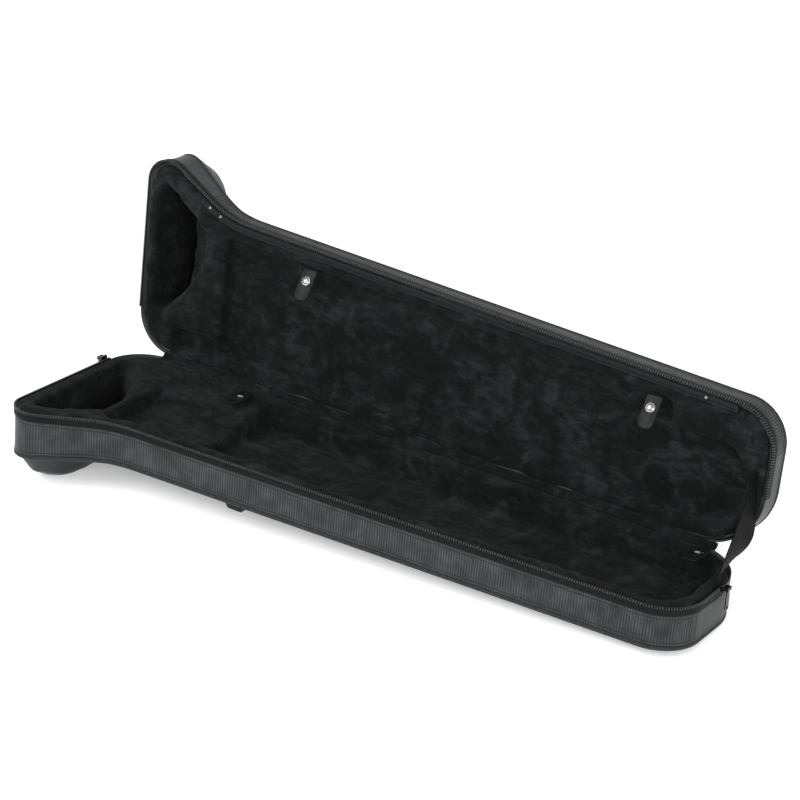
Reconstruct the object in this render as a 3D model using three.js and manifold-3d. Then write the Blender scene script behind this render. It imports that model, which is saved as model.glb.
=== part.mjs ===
// Soft trombone case, open, with a bulge for the bell at one end and a zip round three sides.
// Millimetres, +Z up. The case stands on the flat underside of its bell bulge and on the piping
// at the narrow end's back corner, so it is tilted a little and leans back. The group's origin is
// the middle of its box at floor level. Inside the tilted group, the case is drawn in its own
// frame: X runs from the bell end to the narrow end, the hinge line is y = 0, the front is -Y and
// the rim plane is z = 0.

import * as THREE from "three";
import { mergeVertices } from "three/addons/utils/BufferGeometryUtils.js";
import Module from "manifold-3d";

const wasm = await Module();
wasm.setup();

// Driving dimensions of the whole case

const CASE_LENGTH = 940;
const BELL_END_WIDTH = 292.6;
const NECK_WIDTH = 215.7;
const NARROW_END_WIDTH = 183.3;
const NECK_FROM_BELL_END = 133;
const BELL_BACK_RADIUS = 56.6;
const BELL_FRONT_RADIUS = 32;
const NECK_RADIUS = 147;
const NARROW_FRONT_RADIUS = 54;
const NARROW_BACK_RADIUS = 78;
const BASE_DEPTH_AT_BELL_END = 69.7;
const BASE_DEPTH_AT_NECK = 59.8;
const BASE_DEPTH_AT_NARROW_END = 58.4;
const LID_DEPTH_AT_BELL_END = 60.3;
const LID_DEPTH_AT_NECK = 34.1;
const LID_DEPTH_AT_NARROW_END = 41.4;
const OPEN_ANGLE = THREE.MathUtils.degToRad(92.8);

// Thickness of each layer, and the gaps between them

const LAYER_GAP = 0.3;
const COVER_THICKNESS = 1.6;
const SHELL_THICKNESS = 5;
const PLUSH_THICKNESS = 2.2;
const PLUSH_RIM_DEPTH = 2.2;
const COVER_RIM_DEPTH = 2.9;
const CUT_OVERRUN = 20;
const CHORD_SAG = 0.5;
const ARC_STEP = THREE.MathUtils.degToRad(15);

// The bulge that makes room for the bell, alike on both halves

const BULGE_DEPTH = 104;
const BULGE_ROUND_DEPTH = 115;
const BULGE_CENTRE_FROM_BELL_END = 40;
const BULGE_HALF_LENGTH = 36;
const BULGE_FRONT_MARGIN = 4;
const BULGE_BACK_MARGIN = 30;
const BULGE_POWER = 3.2;
const BULGE_REST_FROM_HINGE = 200;
const FLOOR_LEAN = THREE.MathUtils.degToRad(3.5);
const BULGE_STEPS_AROUND = 24;
const BULGE_STEPS_DOWN = 12;

// Piping, zip and hinge cloth

const PIPING_RADIUS = 3;
const PIPING_INSET = 2;
const PIPING_SIDES = 8;
const TAPE_WIDTH = 12;
const TAPE_THICKNESS = 1.4;
const COIL_RIM_DEPTH = 0.4;
const COIL_HEIGHT = 2.2;
const COIL_STAND_OUT = 1.9;
const COIL_INSET = 1.2;
const HINGE_CLOTH_WIDTH = 16;
const HINGE_CLOTH_THICKNESS = 1.4;

// Recesses in the foam inserts, with their depths from the rim plane

const BASE_TRAY_START = 108;
const BASE_TRAY_END_MARGIN = 24;
const BASE_TRAY_BACK_MARGIN = 24;
const BASE_TRAY_FRONT_MARGIN = 24;
const BASE_TRAY_DEPTH = 43;
const CROOK_POCKET_LENGTH = 196;
const CROOK_POCKET_DEPTH = 47;
const CROOK_POCKET_MARGIN = 14;
const TRAY_CORNER_RADIUS = 30;
const TRAY_THROAT_RADIUS = 6;
const TRAY_NECK_RADIUS = 60;
const LID_TRAY_START = 134;
const LID_TRAY_BACK_MARGIN = 19;
const LID_TRAY_FRONT_MARGIN = 27;
const LID_TRAY_DEPTH = 19;
const LID_END_POCKET_LENGTH = 114;
const LID_END_POCKET_OVERLAP = 4;
const LID_END_POCKET_END_MARGIN = 30;
const LID_END_POCKET_FROM_HINGE = 17;
const LID_END_POCKET_WIDTH = 113;
const LID_END_POCKET_DEPTH = 28;
const LID_END_POCKET_RADIUS = 44;
const MOUTHPIECE_POCKET_START = 142;
const MOUTHPIECE_POCKET_LENGTH = 50;
const MOUTHPIECE_POCKET_FROM_HINGE = 29;
const MOUTHPIECE_POCKET_WIDTH = 65;
const MOUTHPIECE_POCKET_DEPTH = 22;
const ACCESSORY_POCKET_START = 60;
const ACCESSORY_POCKET_LENGTH = 66;
const ACCESSORY_POCKET_FROM_HINGE = 13;
const ACCESSORY_POCKET_WIDTH = 31;
const ACCESSORY_POCKET_DEPTH = 16;
const SMALL_POCKET_RADIUS = 6;
const WELL_SHOULDER_DEPTH = 26;
const WELL_START = 19;
const WELL_BACK_FROM_HINGE = 48;
const WELL_FRONT_FROM_HINGE = 246;
const WELL_THROAT_X = 99;
const WELL_THROAT_FRONT_FROM_HINGE = 184;
const WELL_THROAT_BACK_FROM_HINGE = 142;
const WELL_SLOPE_X = 70;
const WELL_SLOPE_FROM_HINGE = 98;
const WELL_CORNER_RADIUS = 7;

// The plush covered block at the bell's end of the base tray, lower where the bell's tube lies

const THROAT_CLEARANCE = 0.5;
const THROAT_LENGTH = 132;
const THROAT_TOP_DEPTH = 9;
const THROAT_SHELF_DEPTH = 25;
const THROAT_STEP_FROM_HINGE = 78;
const THROAT_STEP_RUN = 34;

// Snap straps: a folded leather strap, snapped to its own backing

const LEATHER_THICKNESS = 1.5;
const STRAP_WIDTH = 20;
const STRAP_LENGTH = 41;
const STRAP_BACKING_LENGTH = 24;
const STRAP_END_RADIUS = 7;
const SNAP_FROM_FOLD = 15;
const SNAP_CAP_RADIUS = 6.3;
const SNAP_CAP_HEIGHT = 2.4;
const SNAP_RIM_HEIGHT = 0.8;
const SNAP_SHOULDER_RADIUS_SHARE = 0.7;
const SNAP_SHOULDER_HEIGHT_SHARE = 0.85;
const SNAP_DOME_STEPS = 4;
const SNAP_STUD_RADIUS = 2.6;
const SNAP_HOLE_RADIUS = 3.4;
const SNAP_STUD_HEIGHT = 1.2;
const ROUND_STEPS = 16;
const FOLD_STEPS = 12;
const LID_STRAP_LEAN = THREE.MathUtils.degToRad(31);
const LID_STRAP_FROM_BELL_END = 270;
const LID_STRAP_FROM_NARROW_END = 161;
const LID_STRAP_RIM_DEPTH = 3.4;
const STRAP_WALL_GAP = 0.9;
const BASE_STRAP_FROM_BELL_END = 208;
const BASE_STRAP_FROM_NARROW_END = 60;
const WIDE_BASE_STRAP_FROM_HINGE = 25;
const NARROW_BASE_STRAP_FROM_HINGE = 14;

// Zip guard on the lid and its studs

const GUARD_WIDTH = 8;
const GUARD_START = 92;
const GUARD_THICKNESS = 1.1;
const GUARD_INSET = 3.5;
const GUARD_STUD_RADIUS = 2;
const GUARD_STUD_HEIGHT = 0.5;
const GUARD_STUD_PITCH = 18;
const GUARD_STUD_FROM_BELL_END = 104;
const GUARD_STUD_FROM_NARROW_END = 95;
const GUARD_STUD_INSET = 7.5;

// Zip sliders and pull tabs

const SLIDER_LENGTH = 13;
const SLIDER_THICKNESS = 4;
const SLIDER_HEIGHT = 7;
const SLIDER_FROM_ARC = 10;
const PULL_PIN_RADIUS = 1.1;
const PULL_PIN_CLEARANCE = 0.3;
const PULL_EYE_WALL = 1.1;
const PULL_EYE_LENGTH = 5;
const PULL_EYE_REACH = 3.4;
const PULL_LUG_THICKNESS = 1.5;
const PULL_LENGTH = 26;
const PULL_WIDTH = 8;
const PULL_THICKNESS = 1.5;
const PULL_END_RADIUS = 3.6;
const PULL_HOLE_RADIUS = 2.2;

// Carry handle on the spine of the base

const HANDLE_PLACE = 432;
const HANDLE_SPAN = 122;
const HANDLE_REACH = 30;
const HANDLE_GRIP_RADIUS = 9;
const HANDLE_GRIP_LENGTH = 92;
const HANDLE_BAR_RADIUS = 3;
const HANDLE_BAR_CORNER = 12;
const HANDLE_PIVOT_DEPTH = 25;
const HANDLE_PIVOT_STAND_OFF = 10.5;
const HANDLE_EYE_CLEARANCE = 0.4;
const BRACKET_WIDTH = 30;
const BRACKET_HEIGHT = 17;
const BRACKET_THICKNESS = 2;
const BRACKET_BLOCK_LENGTH = 12;
const BRACKET_BLOCK_WALL = 2.2;
const RIVET_RADIUS = 3;
const RIVET_HEIGHT = 1.4;
const RIVET_FROM_BRACKET_END = 4;
const BAIL_END_STAND_OUT = 1;
const BAIL_SIDES = 8;
const BAIL_STEPS = 36;

// Webbing tab under the front seam, and the webbing stay of the lid

const TAB_PLACE = 323;
const TAB_LENGTH = 30;
const TAB_THICKNESS = 1.5;
const TAB_OPENING = 3.2;
const TAB_DROP = 12;
const TAB_FROM_FRONT = 5;
const STAY_THICKNESS = 1.2;
const STAY_HEAD_FAR_FROM_HINGE = 110;
const STAY_HEAD_NEAR_FROM_HINGE = 47;
const STAY_FOOT_FAR_FROM_HINGE = 100;
const STAY_FOOT_NEAR_FROM_HINGE = 24;
const STAY_HEAD_FAR_INSET = 17;
const STAY_FOOT_FAR_INSET = 4;
const STAY_NEAR_INSET = 1;
const STAY_BOW = 10;
const STAY_DRAW_IN = 2;
const STAY_STEPS = 8;
const STAY_RIM_DEPTH = 1.8;

// Where each layer starts, from the outline of the case

const COVER_INNER = COVER_THICKNESS + LAYER_GAP;
const SHELL_INNER = COVER_INNER + SHELL_THICKNESS;
const INSERT_OUTER = SHELL_INNER + LAYER_GAP;
const SHELL_RIM_DEPTH = PLUSH_RIM_DEPTH + PLUSH_THICKNESS + LAYER_GAP;
const PIPING_INNER = PIPING_INSET + PIPING_RADIUS + LAYER_GAP;
const PIPING_HEIGHT = 2 * PIPING_RADIUS + LAYER_GAP;

const BASE = {
  name: "base",
  side: -1,
  depthAtBellEnd: BASE_DEPTH_AT_BELL_END,
  depthAtNeck: BASE_DEPTH_AT_NECK,
  depthAtNarrowEnd: BASE_DEPTH_AT_NARROW_END,
};
const LID = {
  name: "lid",
  side: 1,
  depthAtBellEnd: LID_DEPTH_AT_BELL_END,
  depthAtNeck: LID_DEPTH_AT_NECK,
  depthAtNarrowEnd: LID_DEPTH_AT_NARROW_END,
};

// Materials

const NYLON = new THREE.MeshStandardMaterial({ color: 0x2b2f32, roughness: 0.7, metalness: 0 });
const RIBBED_NYLON = new THREE.MeshStandardMaterial({ color: 0x33383c, roughness: 0.75, metalness: 0 });
const PIPING_CLOTH = new THREE.MeshStandardMaterial({ color: 0x17191a, roughness: 0.65, metalness: 0 });
const PLUSH = new THREE.MeshStandardMaterial({ color: 0x0b0b0c, roughness: 0.95, metalness: 0 });
const PLYWOOD = new THREE.MeshStandardMaterial({ color: 0xb89468, roughness: 0.7, metalness: 0 });
const FOAM = new THREE.MeshStandardMaterial({ color: 0x3a3a3c, roughness: 0.95, metalness: 0 });
const LEATHER = new THREE.MeshStandardMaterial({ color: 0x2a2a2c, roughness: 0.55, metalness: 0 });
const NICKEL = new THREE.MeshStandardMaterial({ color: 0xc9c9c6, roughness: 0.25, metalness: 1 });
const ZIP_NYLON = new THREE.MeshStandardMaterial({ color: 0x1b1c1e, roughness: 0.5, metalness: 0 });
const GRIP_RUBBER = new THREE.MeshStandardMaterial({ color: 0x151515, roughness: 0.8, metalness: 0 });

// Solids: a closed geometry becomes a solid that can be joined and cut, and comes back

function solidOf(geometry) {
  const bare = geometry.clone();
  bare.deleteAttribute("normal");
  bare.deleteAttribute("uv");
  const merged = mergeVertices(bare);
  const mesh = new wasm.Mesh({
    numProp: 3,
    vertProperties: Float32Array.from(merged.attributes.position.array),
    triVerts: Uint32Array.from(merged.index.array),
  });
  return new wasm.Manifold(mesh);
}

function geometryOf(solid) {
  const mesh = solid.getMesh();
  const geometry = new THREE.BufferGeometry();
  geometry.setAttribute("position", new THREE.BufferAttribute(mesh.vertProperties, 3));
  geometry.setIndex(new THREE.BufferAttribute(mesh.triVerts, 1));
  geometry.computeVertexNormals();
  return geometry;
}

function named(name, geometry, material) {
  const mesh = new THREE.Mesh(geometry, material);
  mesh.name = name;
  return mesh;
}

// A closed surface from points and triangles, turned outward if it was drawn inside out.
function closedGeometry(points, triangles) {
  const volume = triangles.reduce((sum, [a, b, c]) => {
    const cross = new THREE.Vector3().crossVectors(points[b], points[c]);
    return sum + points[a].dot(cross);
  }, 0);
  const faces = volume < 0 ? triangles.map(([a, b, c]) => [a, c, b]) : triangles;
  const geometry = new THREE.BufferGeometry().setFromPoints(points);
  geometry.setIndex(faces.flat());
  geometry.computeVertexNormals();
  return geometry;
}

// Plan outlines

// Rounded outline through corners { x, y, r }, drawn inset from them. Every inset gives as many points.
function planOutline(corners, inset) {
  const area = THREE.ShapeUtils.area(corners);
  const inwardTurn = area > 0 ? 1 : -1;
  const count = corners.length;
  const points = [];
  const spans = [];
  corners.forEach((corner, i) => {
    const before = corners[(i + count - 1) % count];
    const after = corners[(i + 1) % count];
    const along = new THREE.Vector2(corner.x - before.x, corner.y - before.y).normalize();
    const away = new THREE.Vector2(after.x - corner.x, after.y - corner.y).normalize();
    const turn = Math.atan2(along.cross(away), along.dot(away));
    const inward = new THREE.Vector2(-along.y, along.x).multiplyScalar(inwardTurn);
    const inwardAfter = new THREE.Vector2(-away.y, away.x).multiplyScalar(inwardTurn);
    const mitre = inward.clone().add(inwardAfter);
    const reach = inset / (1 + inward.dot(inwardAfter));
    const tip = new THREE.Vector2(corner.x, corner.y).addScaledVector(mitre, reach);
    const first = points.length;
    if (!corner.r) {
      points.push(tip);
    } else {
      const convex = turn * inwardTurn > 0;
      const radius = Math.max(convex ? corner.r - inset : corner.r + inset, LAYER_GAP);
      const tangent = radius * Math.tan(Math.abs(turn) / 2);
      const start = tip.clone().addScaledVector(along, -tangent);
      const toCentre = inward.clone().multiplyScalar(convex ? radius : -radius);
      const centre = start.clone().add(toCentre);
      const fineStep = 2 * Math.acos(1 - Math.min(1, CHORD_SAG / corner.r));
      const steps = Math.ceil(Math.abs(turn) / Math.min(ARC_STEP, fineStep));
      for (let k = 0; k <= steps; k += 1) {
        const spoke = toCentre.clone().negate().rotateAround(new THREE.Vector2(), (turn * k) / steps);
        points.push(centre.clone().add(spoke));
      }
    }
    spans.push({ first, last: points.length - 1 });
  });
  return { points, spans };
}

function caseWidthAt(x) {
  const towardNeck = (NECK_WIDTH - BELL_END_WIDTH) / NECK_FROM_BELL_END;
  const towardEnd = (NARROW_END_WIDTH - NECK_WIDTH) / (CASE_LENGTH - NECK_FROM_BELL_END);
  if (x < NECK_FROM_BELL_END) return BELL_END_WIDTH + towardNeck * x;
  return NECK_WIDTH + towardEnd * (x - NECK_FROM_BELL_END);
}

const CASE_CORNERS = [
  { x: 0, y: 0, r: BELL_BACK_RADIUS },
  { x: 0, y: -BELL_END_WIDTH, r: BELL_FRONT_RADIUS },
  { x: NECK_FROM_BELL_END, y: -NECK_WIDTH, r: NECK_RADIUS },
  { x: CASE_LENGTH, y: -NARROW_END_WIDTH, r: NARROW_FRONT_RADIUS },
  { x: CASE_LENGTH, y: 0, r: NARROW_BACK_RADIUS },
  { x: NECK_FROM_BELL_END, y: 0, r: 0 },
];
const CASE_SPANS = planOutline(CASE_CORNERS, 0).spans;
const [BELL_BACK, BELL_FRONT, NECK, NARROW_FRONT, NARROW_BACK] = CASE_SPANS;

function edgeDepth(half, x) {
  const beyondNeck = CASE_LENGTH - NECK_FROM_BELL_END;
  if (x < NECK_FROM_BELL_END) {
    const share = x / NECK_FROM_BELL_END;
    return half.depthAtBellEnd + (half.depthAtNeck - half.depthAtBellEnd) * share;
  }
  const share = (x - NECK_FROM_BELL_END) / beyondNeck;
  return half.depthAtNeck + (half.depthAtNarrowEnd - half.depthAtNeck) * share;
}

// Prisms

const ALONG_Y = new THREE.Matrix4().makeBasis(
  new THREE.Vector3(1, 0, 0),
  new THREE.Vector3(0, 0, 1),
  new THREE.Vector3(0, -1, 0),
);
const ALONG_X = new THREE.Matrix4().makeBasis(
  new THREE.Vector3(0, 1, 0),
  new THREE.Vector3(0, 0, 1),
  new THREE.Vector3(1, 0, 0),
);

function extruded(points, length, holes = []) {
  const shape = new THREE.Shape(points);
  shape.holes = holes.map((hole) => new THREE.Path(hole));
  return new THREE.ExtrudeGeometry(shape, { depth: length, bevelEnabled: false, steps: 1 });
}

// Upright prism between two heights.
function prism(points, low, high) {
  return extruded(points, high - low).translate(0, 0, low);
}

// Prism of an X and Z outline, through the whole width of the case.
function crossCut(points) {
  const width = BELL_END_WIDTH + 2 * CUT_OVERRUN;
  return extruded(points, width).applyMatrix4(ALONG_Y).translate(0, CUT_OVERRUN, 0);
}

function circlePoints(radius, steps, x = 0, y = 0) {
  return Array.from({ length: steps }, (_, k) => {
    const angle = (2 * Math.PI * k) / steps;
    return new THREE.Vector2(x + radius * Math.cos(angle), y + radius * Math.sin(angle));
  });
}

// The body of one half, inset at its sides, from a depth below the rim to a distance from its face
function halfEnvelope(half, sideInset, rimDepth, faceInset) {
  const s = half.side;
  const reach = BULGE_ROUND_DEPTH + CUT_OVERRUN;
  const low = Math.min(s * rimDepth, s * reach);
  const high = Math.max(s * rimDepth, s * reach);
  const start = -CUT_OVERRUN;
  const end = CASE_LENGTH + CUT_OVERRUN;
  const rim = s * (rimDepth - CUT_OVERRUN);
  const profile = [
    new THREE.Vector2(start, rim),
    new THREE.Vector2(end, rim),
    new THREE.Vector2(end, s * (edgeDepth(half, end) - faceInset)),
    new THREE.Vector2(NECK_FROM_BELL_END, s * (edgeDepth(half, NECK_FROM_BELL_END) - faceInset)),
    new THREE.Vector2(start, s * (edgeDepth(half, start) - faceInset)),
  ];
  const plan = solidOf(prism(planOutline(CASE_CORNERS, sideInset).points, low, high));
  return plan.intersect(solidOf(crossCut(profile)));
}

// The floor, as a plane in the case's own frame. The case leans back a little: it rests on the
// underside of its bulge and on the piping round the narrow end's back corner.

const FLOOR_RISE_BACK = Math.tan(FLOOR_LEAN);
const FLOOR_POINT = new THREE.Vector3(BULGE_CENTRE_FROM_BELL_END, -BULGE_REST_FROM_HINGE, -BULGE_DEPTH);
const FLOOR_RISE_ALONG = Math.min(
  ...planOutline(CASE_CORNERS, PIPING_INSET)
    .points.filter(({ x }) => x > NECK_FROM_BELL_END)
    .map(({ x, y }) => {
      const rise = -edgeDepth(BASE, x) - FLOOR_POINT.z - FLOOR_RISE_BACK * (y - FLOOR_POINT.y);
      return rise / (x - FLOOR_POINT.x);
    }),
);
const FLOOR_UP = new THREE.Vector3(-FLOOR_RISE_ALONG, -FLOOR_RISE_BACK, 1).normalize();
const UP = new THREE.Vector3(0, 0, 1);

// Everything that is at least a layer above the floor.
function aboveFloor(layer) {
  const space = new THREE.BoxGeometry(2 * CASE_LENGTH, 2 * CASE_LENGTH, CASE_LENGTH);
  space.translate(0, 0, CASE_LENGTH / 2 + layer);
  space.applyQuaternion(new THREE.Quaternion().setFromUnitVectors(UP, FLOOR_UP));
  space.translate(FLOOR_POINT.x, FLOOR_POINT.y, FLOOR_POINT.z);
  return solidOf(space);
}

// A superellipsoid for the bell, tapered with the case's front edge, cut flat underneath
// and held inside the piping.
function bulgeSolid(half, inset, deeperThan = 0) {
  const ball = new THREE.SphereGeometry(1, BULGE_STEPS_AROUND, BULGE_STEPS_DOWN);
  ball.rotateX(Math.PI / 2);
  const position = ball.attributes.position;
  const point = new THREE.Vector3();
  const power = (value) => Math.abs(value) ** BULGE_POWER;
  for (let i = 0; i < position.count; i += 1) {
    point.fromBufferAttribute(position, i);
    const sum = power(point.x) + power(point.y) + power(point.z);
    point.divideScalar(sum ** (1 / BULGE_POWER));
    const x = BULGE_CENTRE_FROM_BELL_END + (BULGE_HALF_LENGTH - inset) * point.x;
    const front = -caseWidthAt(x) + BULGE_FRONT_MARGIN + inset;
    const back = -BULGE_BACK_MARGIN - inset;
    const y = (front + back) / 2 + (point.y * (back - front)) / 2;
    position.setXYZ(i, x, y, (BULGE_ROUND_DEPTH - inset) * point.z);
  }
  const plan = planOutline(CASE_CORNERS, PIPING_INNER + inset).points;
  const deepest = half.side * (half === BASE ? BULGE_ROUND_DEPTH : BULGE_DEPTH - inset);
  const rim = half.side * deeperThan;
  const column = solidOf(prism(plan, Math.min(rim, deepest), Math.max(rim, deepest)));
  const bulge = solidOf(ball).intersect(column);
  return half === BASE ? bulge.intersect(aboveFloor(inset)) : bulge;
}

// Strips that follow the case outline

// A section of { inset, depth } or { inset, fromFace } points, swept along the outline of one half.
function rimSweep(half, section, from, to, trim = LAYER_GAP / 2) {
  const paths = section.map(({ inset }) => planOutline(CASE_CORNERS, inset).points);
  const total = paths[0].length;
  const closed = from === undefined;
  const count = closed ? total : ((to - from + total) % total) + 1;
  const start = closed ? 0 : from;
  const place = (path, i) => {
    const here = path[(start + i) % total].clone();
    if (closed) return here;
    if (i === 0) {
      const next = path[(start + 1) % total];
      return here.add(next.clone().sub(here).setLength(trim));
    }
    if (i === count - 1) {
      const previous = path[(start + count - 2 + total) % total];
      return here.add(previous.clone().sub(here).setLength(trim));
    }
    return here;
  };
  const points = [];
  for (let i = 0; i < count; i += 1) {
    section.forEach((corner, j) => {
      const { x, y } = place(paths[j], i);
      const depth = corner.depth ?? edgeDepth(half, x) - corner.fromFace;
      points.push(new THREE.Vector3(x, y, half.side * depth));
    });
  }
  const sides = section.length;
  const triangles = [];
  const rings = closed ? count : count - 1;
  for (let i = 0; i < rings; i += 1) {
    const here = i * sides;
    const next = ((i + 1) % count) * sides;
    for (let j = 0; j < sides; j += 1) {
      const k = (j + 1) % sides;
      triangles.push([here + j, here + k, next + k], [here + j, next + k, next + j]);
    }
  }
  if (!closed) {
    const end = (count - 1) * sides;
    for (let j = 1; j < sides - 1; j += 1) {
      triangles.push([0, j + 1, j], [end, end + j, end + j + 1]);
    }
  }
  return closedGeometry(points, triangles);
}

function boxSection(insetFrom, insetTo, depthFrom, depthTo) {
  return [
    { inset: insetFrom, depth: depthFrom },
    { inset: insetTo, depth: depthFrom },
    { inset: insetTo, depth: depthTo },
    { inset: insetFrom, depth: depthTo },
  ];
}

// Recesses

// Corners of a recess, given as distances along the case and from the hinge line.
function recessBox(fromX, toX, nearHinge, farFromHinge, radius) {
  return [
    { x: fromX, y: -nearHinge, r: radius },
    { x: fromX, y: -farFromHinge(fromX), r: radius },
    { x: toX, y: -farFromHinge(toX), r: radius },
    { x: toX, y: -nearHinge, r: radius },
  ];
}

const WELL_CORNERS = [
  { x: WELL_START, y: -WELL_BACK_FROM_HINGE, r: WELL_CORNER_RADIUS },
  { x: WELL_START, y: -WELL_FRONT_FROM_HINGE, r: WELL_CORNER_RADIUS },
  { x: WELL_THROAT_X, y: -WELL_THROAT_FRONT_FROM_HINGE, r: WELL_CORNER_RADIUS },
  { x: WELL_THROAT_X - WELL_CORNER_RADIUS, y: -WELL_THROAT_BACK_FROM_HINGE, r: WELL_CORNER_RADIUS },
  { x: WELL_SLOPE_X, y: -WELL_SLOPE_FROM_HINGE, r: WELL_CORNER_RADIUS },
];

// The base tray as far as an end, which has a radius of its own.
function baseTrayCorners(end, endRadius) {
  const front = (x) => caseWidthAt(x) - BASE_TRAY_FRONT_MARGIN;
  const corners = recessBox(BASE_TRAY_START, end, BASE_TRAY_BACK_MARGIN, front, endRadius);
  corners[0].r = TRAY_THROAT_RADIUS;
  corners[1].r = TRAY_THROAT_RADIUS;
  corners.splice(2, 0, { x: NECK_FROM_BELL_END, y: -front(NECK_FROM_BELL_END), r: TRAY_NECK_RADIUS });
  return corners;
}

const CROOK_POCKET_END = CASE_LENGTH - BASE_TRAY_END_MARGIN - CROOK_POCKET_MARGIN;
const BASE_RECESSES = [
  {
    corners: baseTrayCorners(CASE_LENGTH - BASE_TRAY_END_MARGIN, TRAY_CORNER_RADIUS),
    depth: BASE_TRAY_DEPTH,
  },
  {
    corners: recessBox(
      CROOK_POCKET_END - CROOK_POCKET_LENGTH,
      CROOK_POCKET_END,
      BASE_TRAY_BACK_MARGIN + CROOK_POCKET_MARGIN,
      (x) => caseWidthAt(x) - BASE_TRAY_FRONT_MARGIN - CROOK_POCKET_MARGIN,
      TRAY_CORNER_RADIUS,
    ),
    depth: CROOK_POCKET_DEPTH,
  },
];
const LID_POCKET_END = CASE_LENGTH - LID_END_POCKET_END_MARGIN;
const LID_POCKET_START = LID_POCKET_END - LID_END_POCKET_LENGTH;
const LID_POCKET_FAR = LID_END_POCKET_FROM_HINGE + LID_END_POCKET_WIDTH;
const LID_RECESSES = [
  {
    corners: recessBox(
      LID_TRAY_START,
      LID_POCKET_START + LID_END_POCKET_OVERLAP,
      LID_TRAY_BACK_MARGIN,
      (x) => caseWidthAt(x) - LID_TRAY_FRONT_MARGIN,
      SMALL_POCKET_RADIUS,
    ),
    depth: LID_TRAY_DEPTH,
  },
  {
    corners: [
      { x: LID_POCKET_START, y: -LID_END_POCKET_FROM_HINGE, r: SMALL_POCKET_RADIUS },
      { x: LID_POCKET_START, y: -LID_POCKET_FAR, r: SMALL_POCKET_RADIUS },
      { x: LID_POCKET_END, y: -LID_POCKET_FAR, r: LID_END_POCKET_RADIUS },
      { x: LID_POCKET_END, y: -LID_END_POCKET_FROM_HINGE, r: LID_END_POCKET_RADIUS },
    ],
    depth: LID_END_POCKET_DEPTH,
  },
  {
    corners: recessBox(
      MOUTHPIECE_POCKET_START,
      MOUTHPIECE_POCKET_START + MOUTHPIECE_POCKET_LENGTH,
      MOUTHPIECE_POCKET_FROM_HINGE,
      () => MOUTHPIECE_POCKET_FROM_HINGE + MOUTHPIECE_POCKET_WIDTH,
      SMALL_POCKET_RADIUS,
    ),
    depth: MOUTHPIECE_POCKET_DEPTH,
  },
  {
    corners: recessBox(
      ACCESSORY_POCKET_START,
      ACCESSORY_POCKET_START + ACCESSORY_POCKET_LENGTH,
      ACCESSORY_POCKET_FROM_HINGE,
      () => ACCESSORY_POCKET_FROM_HINGE + ACCESSORY_POCKET_WIDTH,
      SMALL_POCKET_RADIUS,
    ),
    depth: ACCESSORY_POCKET_DEPTH,
  },
];

function recessSolid(half, corners, depth, grow) {
  const low = Math.min(-half.side * CUT_OVERRUN, half.side * (depth + grow));
  const high = Math.max(-half.side * CUT_OVERRUN, half.side * (depth + grow));
  return solidOf(prism(planOutline(corners, -grow).points, low, high));
}

// The bell well: a straight mouth, and below it a hollow that follows the bulge.
function wellSolid(half, grow) {
  const mouth = recessSolid(half, WELL_CORNERS, BULGE_ROUND_DEPTH, grow);
  const shoulder = recessSolid(half, WELL_CORNERS, WELL_SHOULDER_DEPTH, grow);
  const hollow = bulgeSolid(half, INSERT_OUTER + PLUSH_THICKNESS - grow).intersect(mouth);
  return shoulder.add(hollow);
}

function allRecesses(half, grow) {
  const recesses = half === BASE ? BASE_RECESSES : LID_RECESSES;
  return recesses.reduce(
    (sum, { corners, depth }) => sum.add(recessSolid(half, corners, depth, grow)),
    wellSolid(half, grow),
  );
}

// Layers of one half

function shell(half) {
  const wall = halfEnvelope(half, COVER_INNER, SHELL_RIM_DEPTH, PIPING_HEIGHT);
  const face = halfEnvelope(half, PIPING_INNER, SHELL_RIM_DEPTH, COVER_INNER);
  const outer = wall.add(face).add(bulgeSolid(half, COVER_INNER, SHELL_RIM_DEPTH));
  const inner = halfEnvelope(half, SHELL_INNER, 0, SHELL_INNER).add(bulgeSolid(half, SHELL_INNER));
  return outer.subtract(inner);
}

function insert(half) {
  const outer = halfEnvelope(half, INSERT_OUTER, SHELL_RIM_DEPTH, INSERT_OUTER);
  const block = outer.add(bulgeSolid(half, INSERT_OUTER, SHELL_RIM_DEPTH));
  return block.subtract(allRecesses(half, PLUSH_THICKNESS + LAYER_GAP));
}

function lining(half) {
  const s = half.side;
  const plan = planOutline(CASE_CORNERS, COVER_INNER).points;
  const top = s * PLUSH_RIM_DEPTH;
  const under = s * (PLUSH_RIM_DEPTH + PLUSH_THICKNESS);
  const ledge = solidOf(prism(plan, Math.min(top, under), Math.max(top, under)));
  const deep = s * (BULGE_ROUND_DEPTH + CUT_OVERRUN);
  const belowRim = solidOf(prism(plan, Math.min(top, deep), Math.max(top, deep)));
  const skin = allRecesses(half, PLUSH_THICKNESS).intersect(belowRim);
  return ledge.add(skin).subtract(allRecesses(half, 0));
}

function panel(half) {
  const slab = halfEnvelope(half, PIPING_INNER, 0, 0);
  const above = halfEnvelope(half, -CUT_OVERRUN, -CUT_OVERRUN, COVER_THICKNESS);
  const hat = bulgeSolid(half, 0);
  return slab.add(hat).subtract(above).subtract(bulgeSolid(half, COVER_THICKNESS));
}

function bandSection() {
  return [
    { inset: 0, depth: COVER_RIM_DEPTH },
    { inset: COVER_THICKNESS, depth: COVER_RIM_DEPTH },
    { inset: COVER_THICKNESS, fromFace: PIPING_HEIGHT },
    { inset: 0, fromFace: PIPING_HEIGHT },
  ];
}

function pipingSection() {
  return circlePoints(PIPING_RADIUS, PIPING_SIDES, PIPING_INSET, PIPING_RADIUS).map((p) => ({
    inset: p.x,
    fromFace: p.y,
  }));
}

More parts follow.
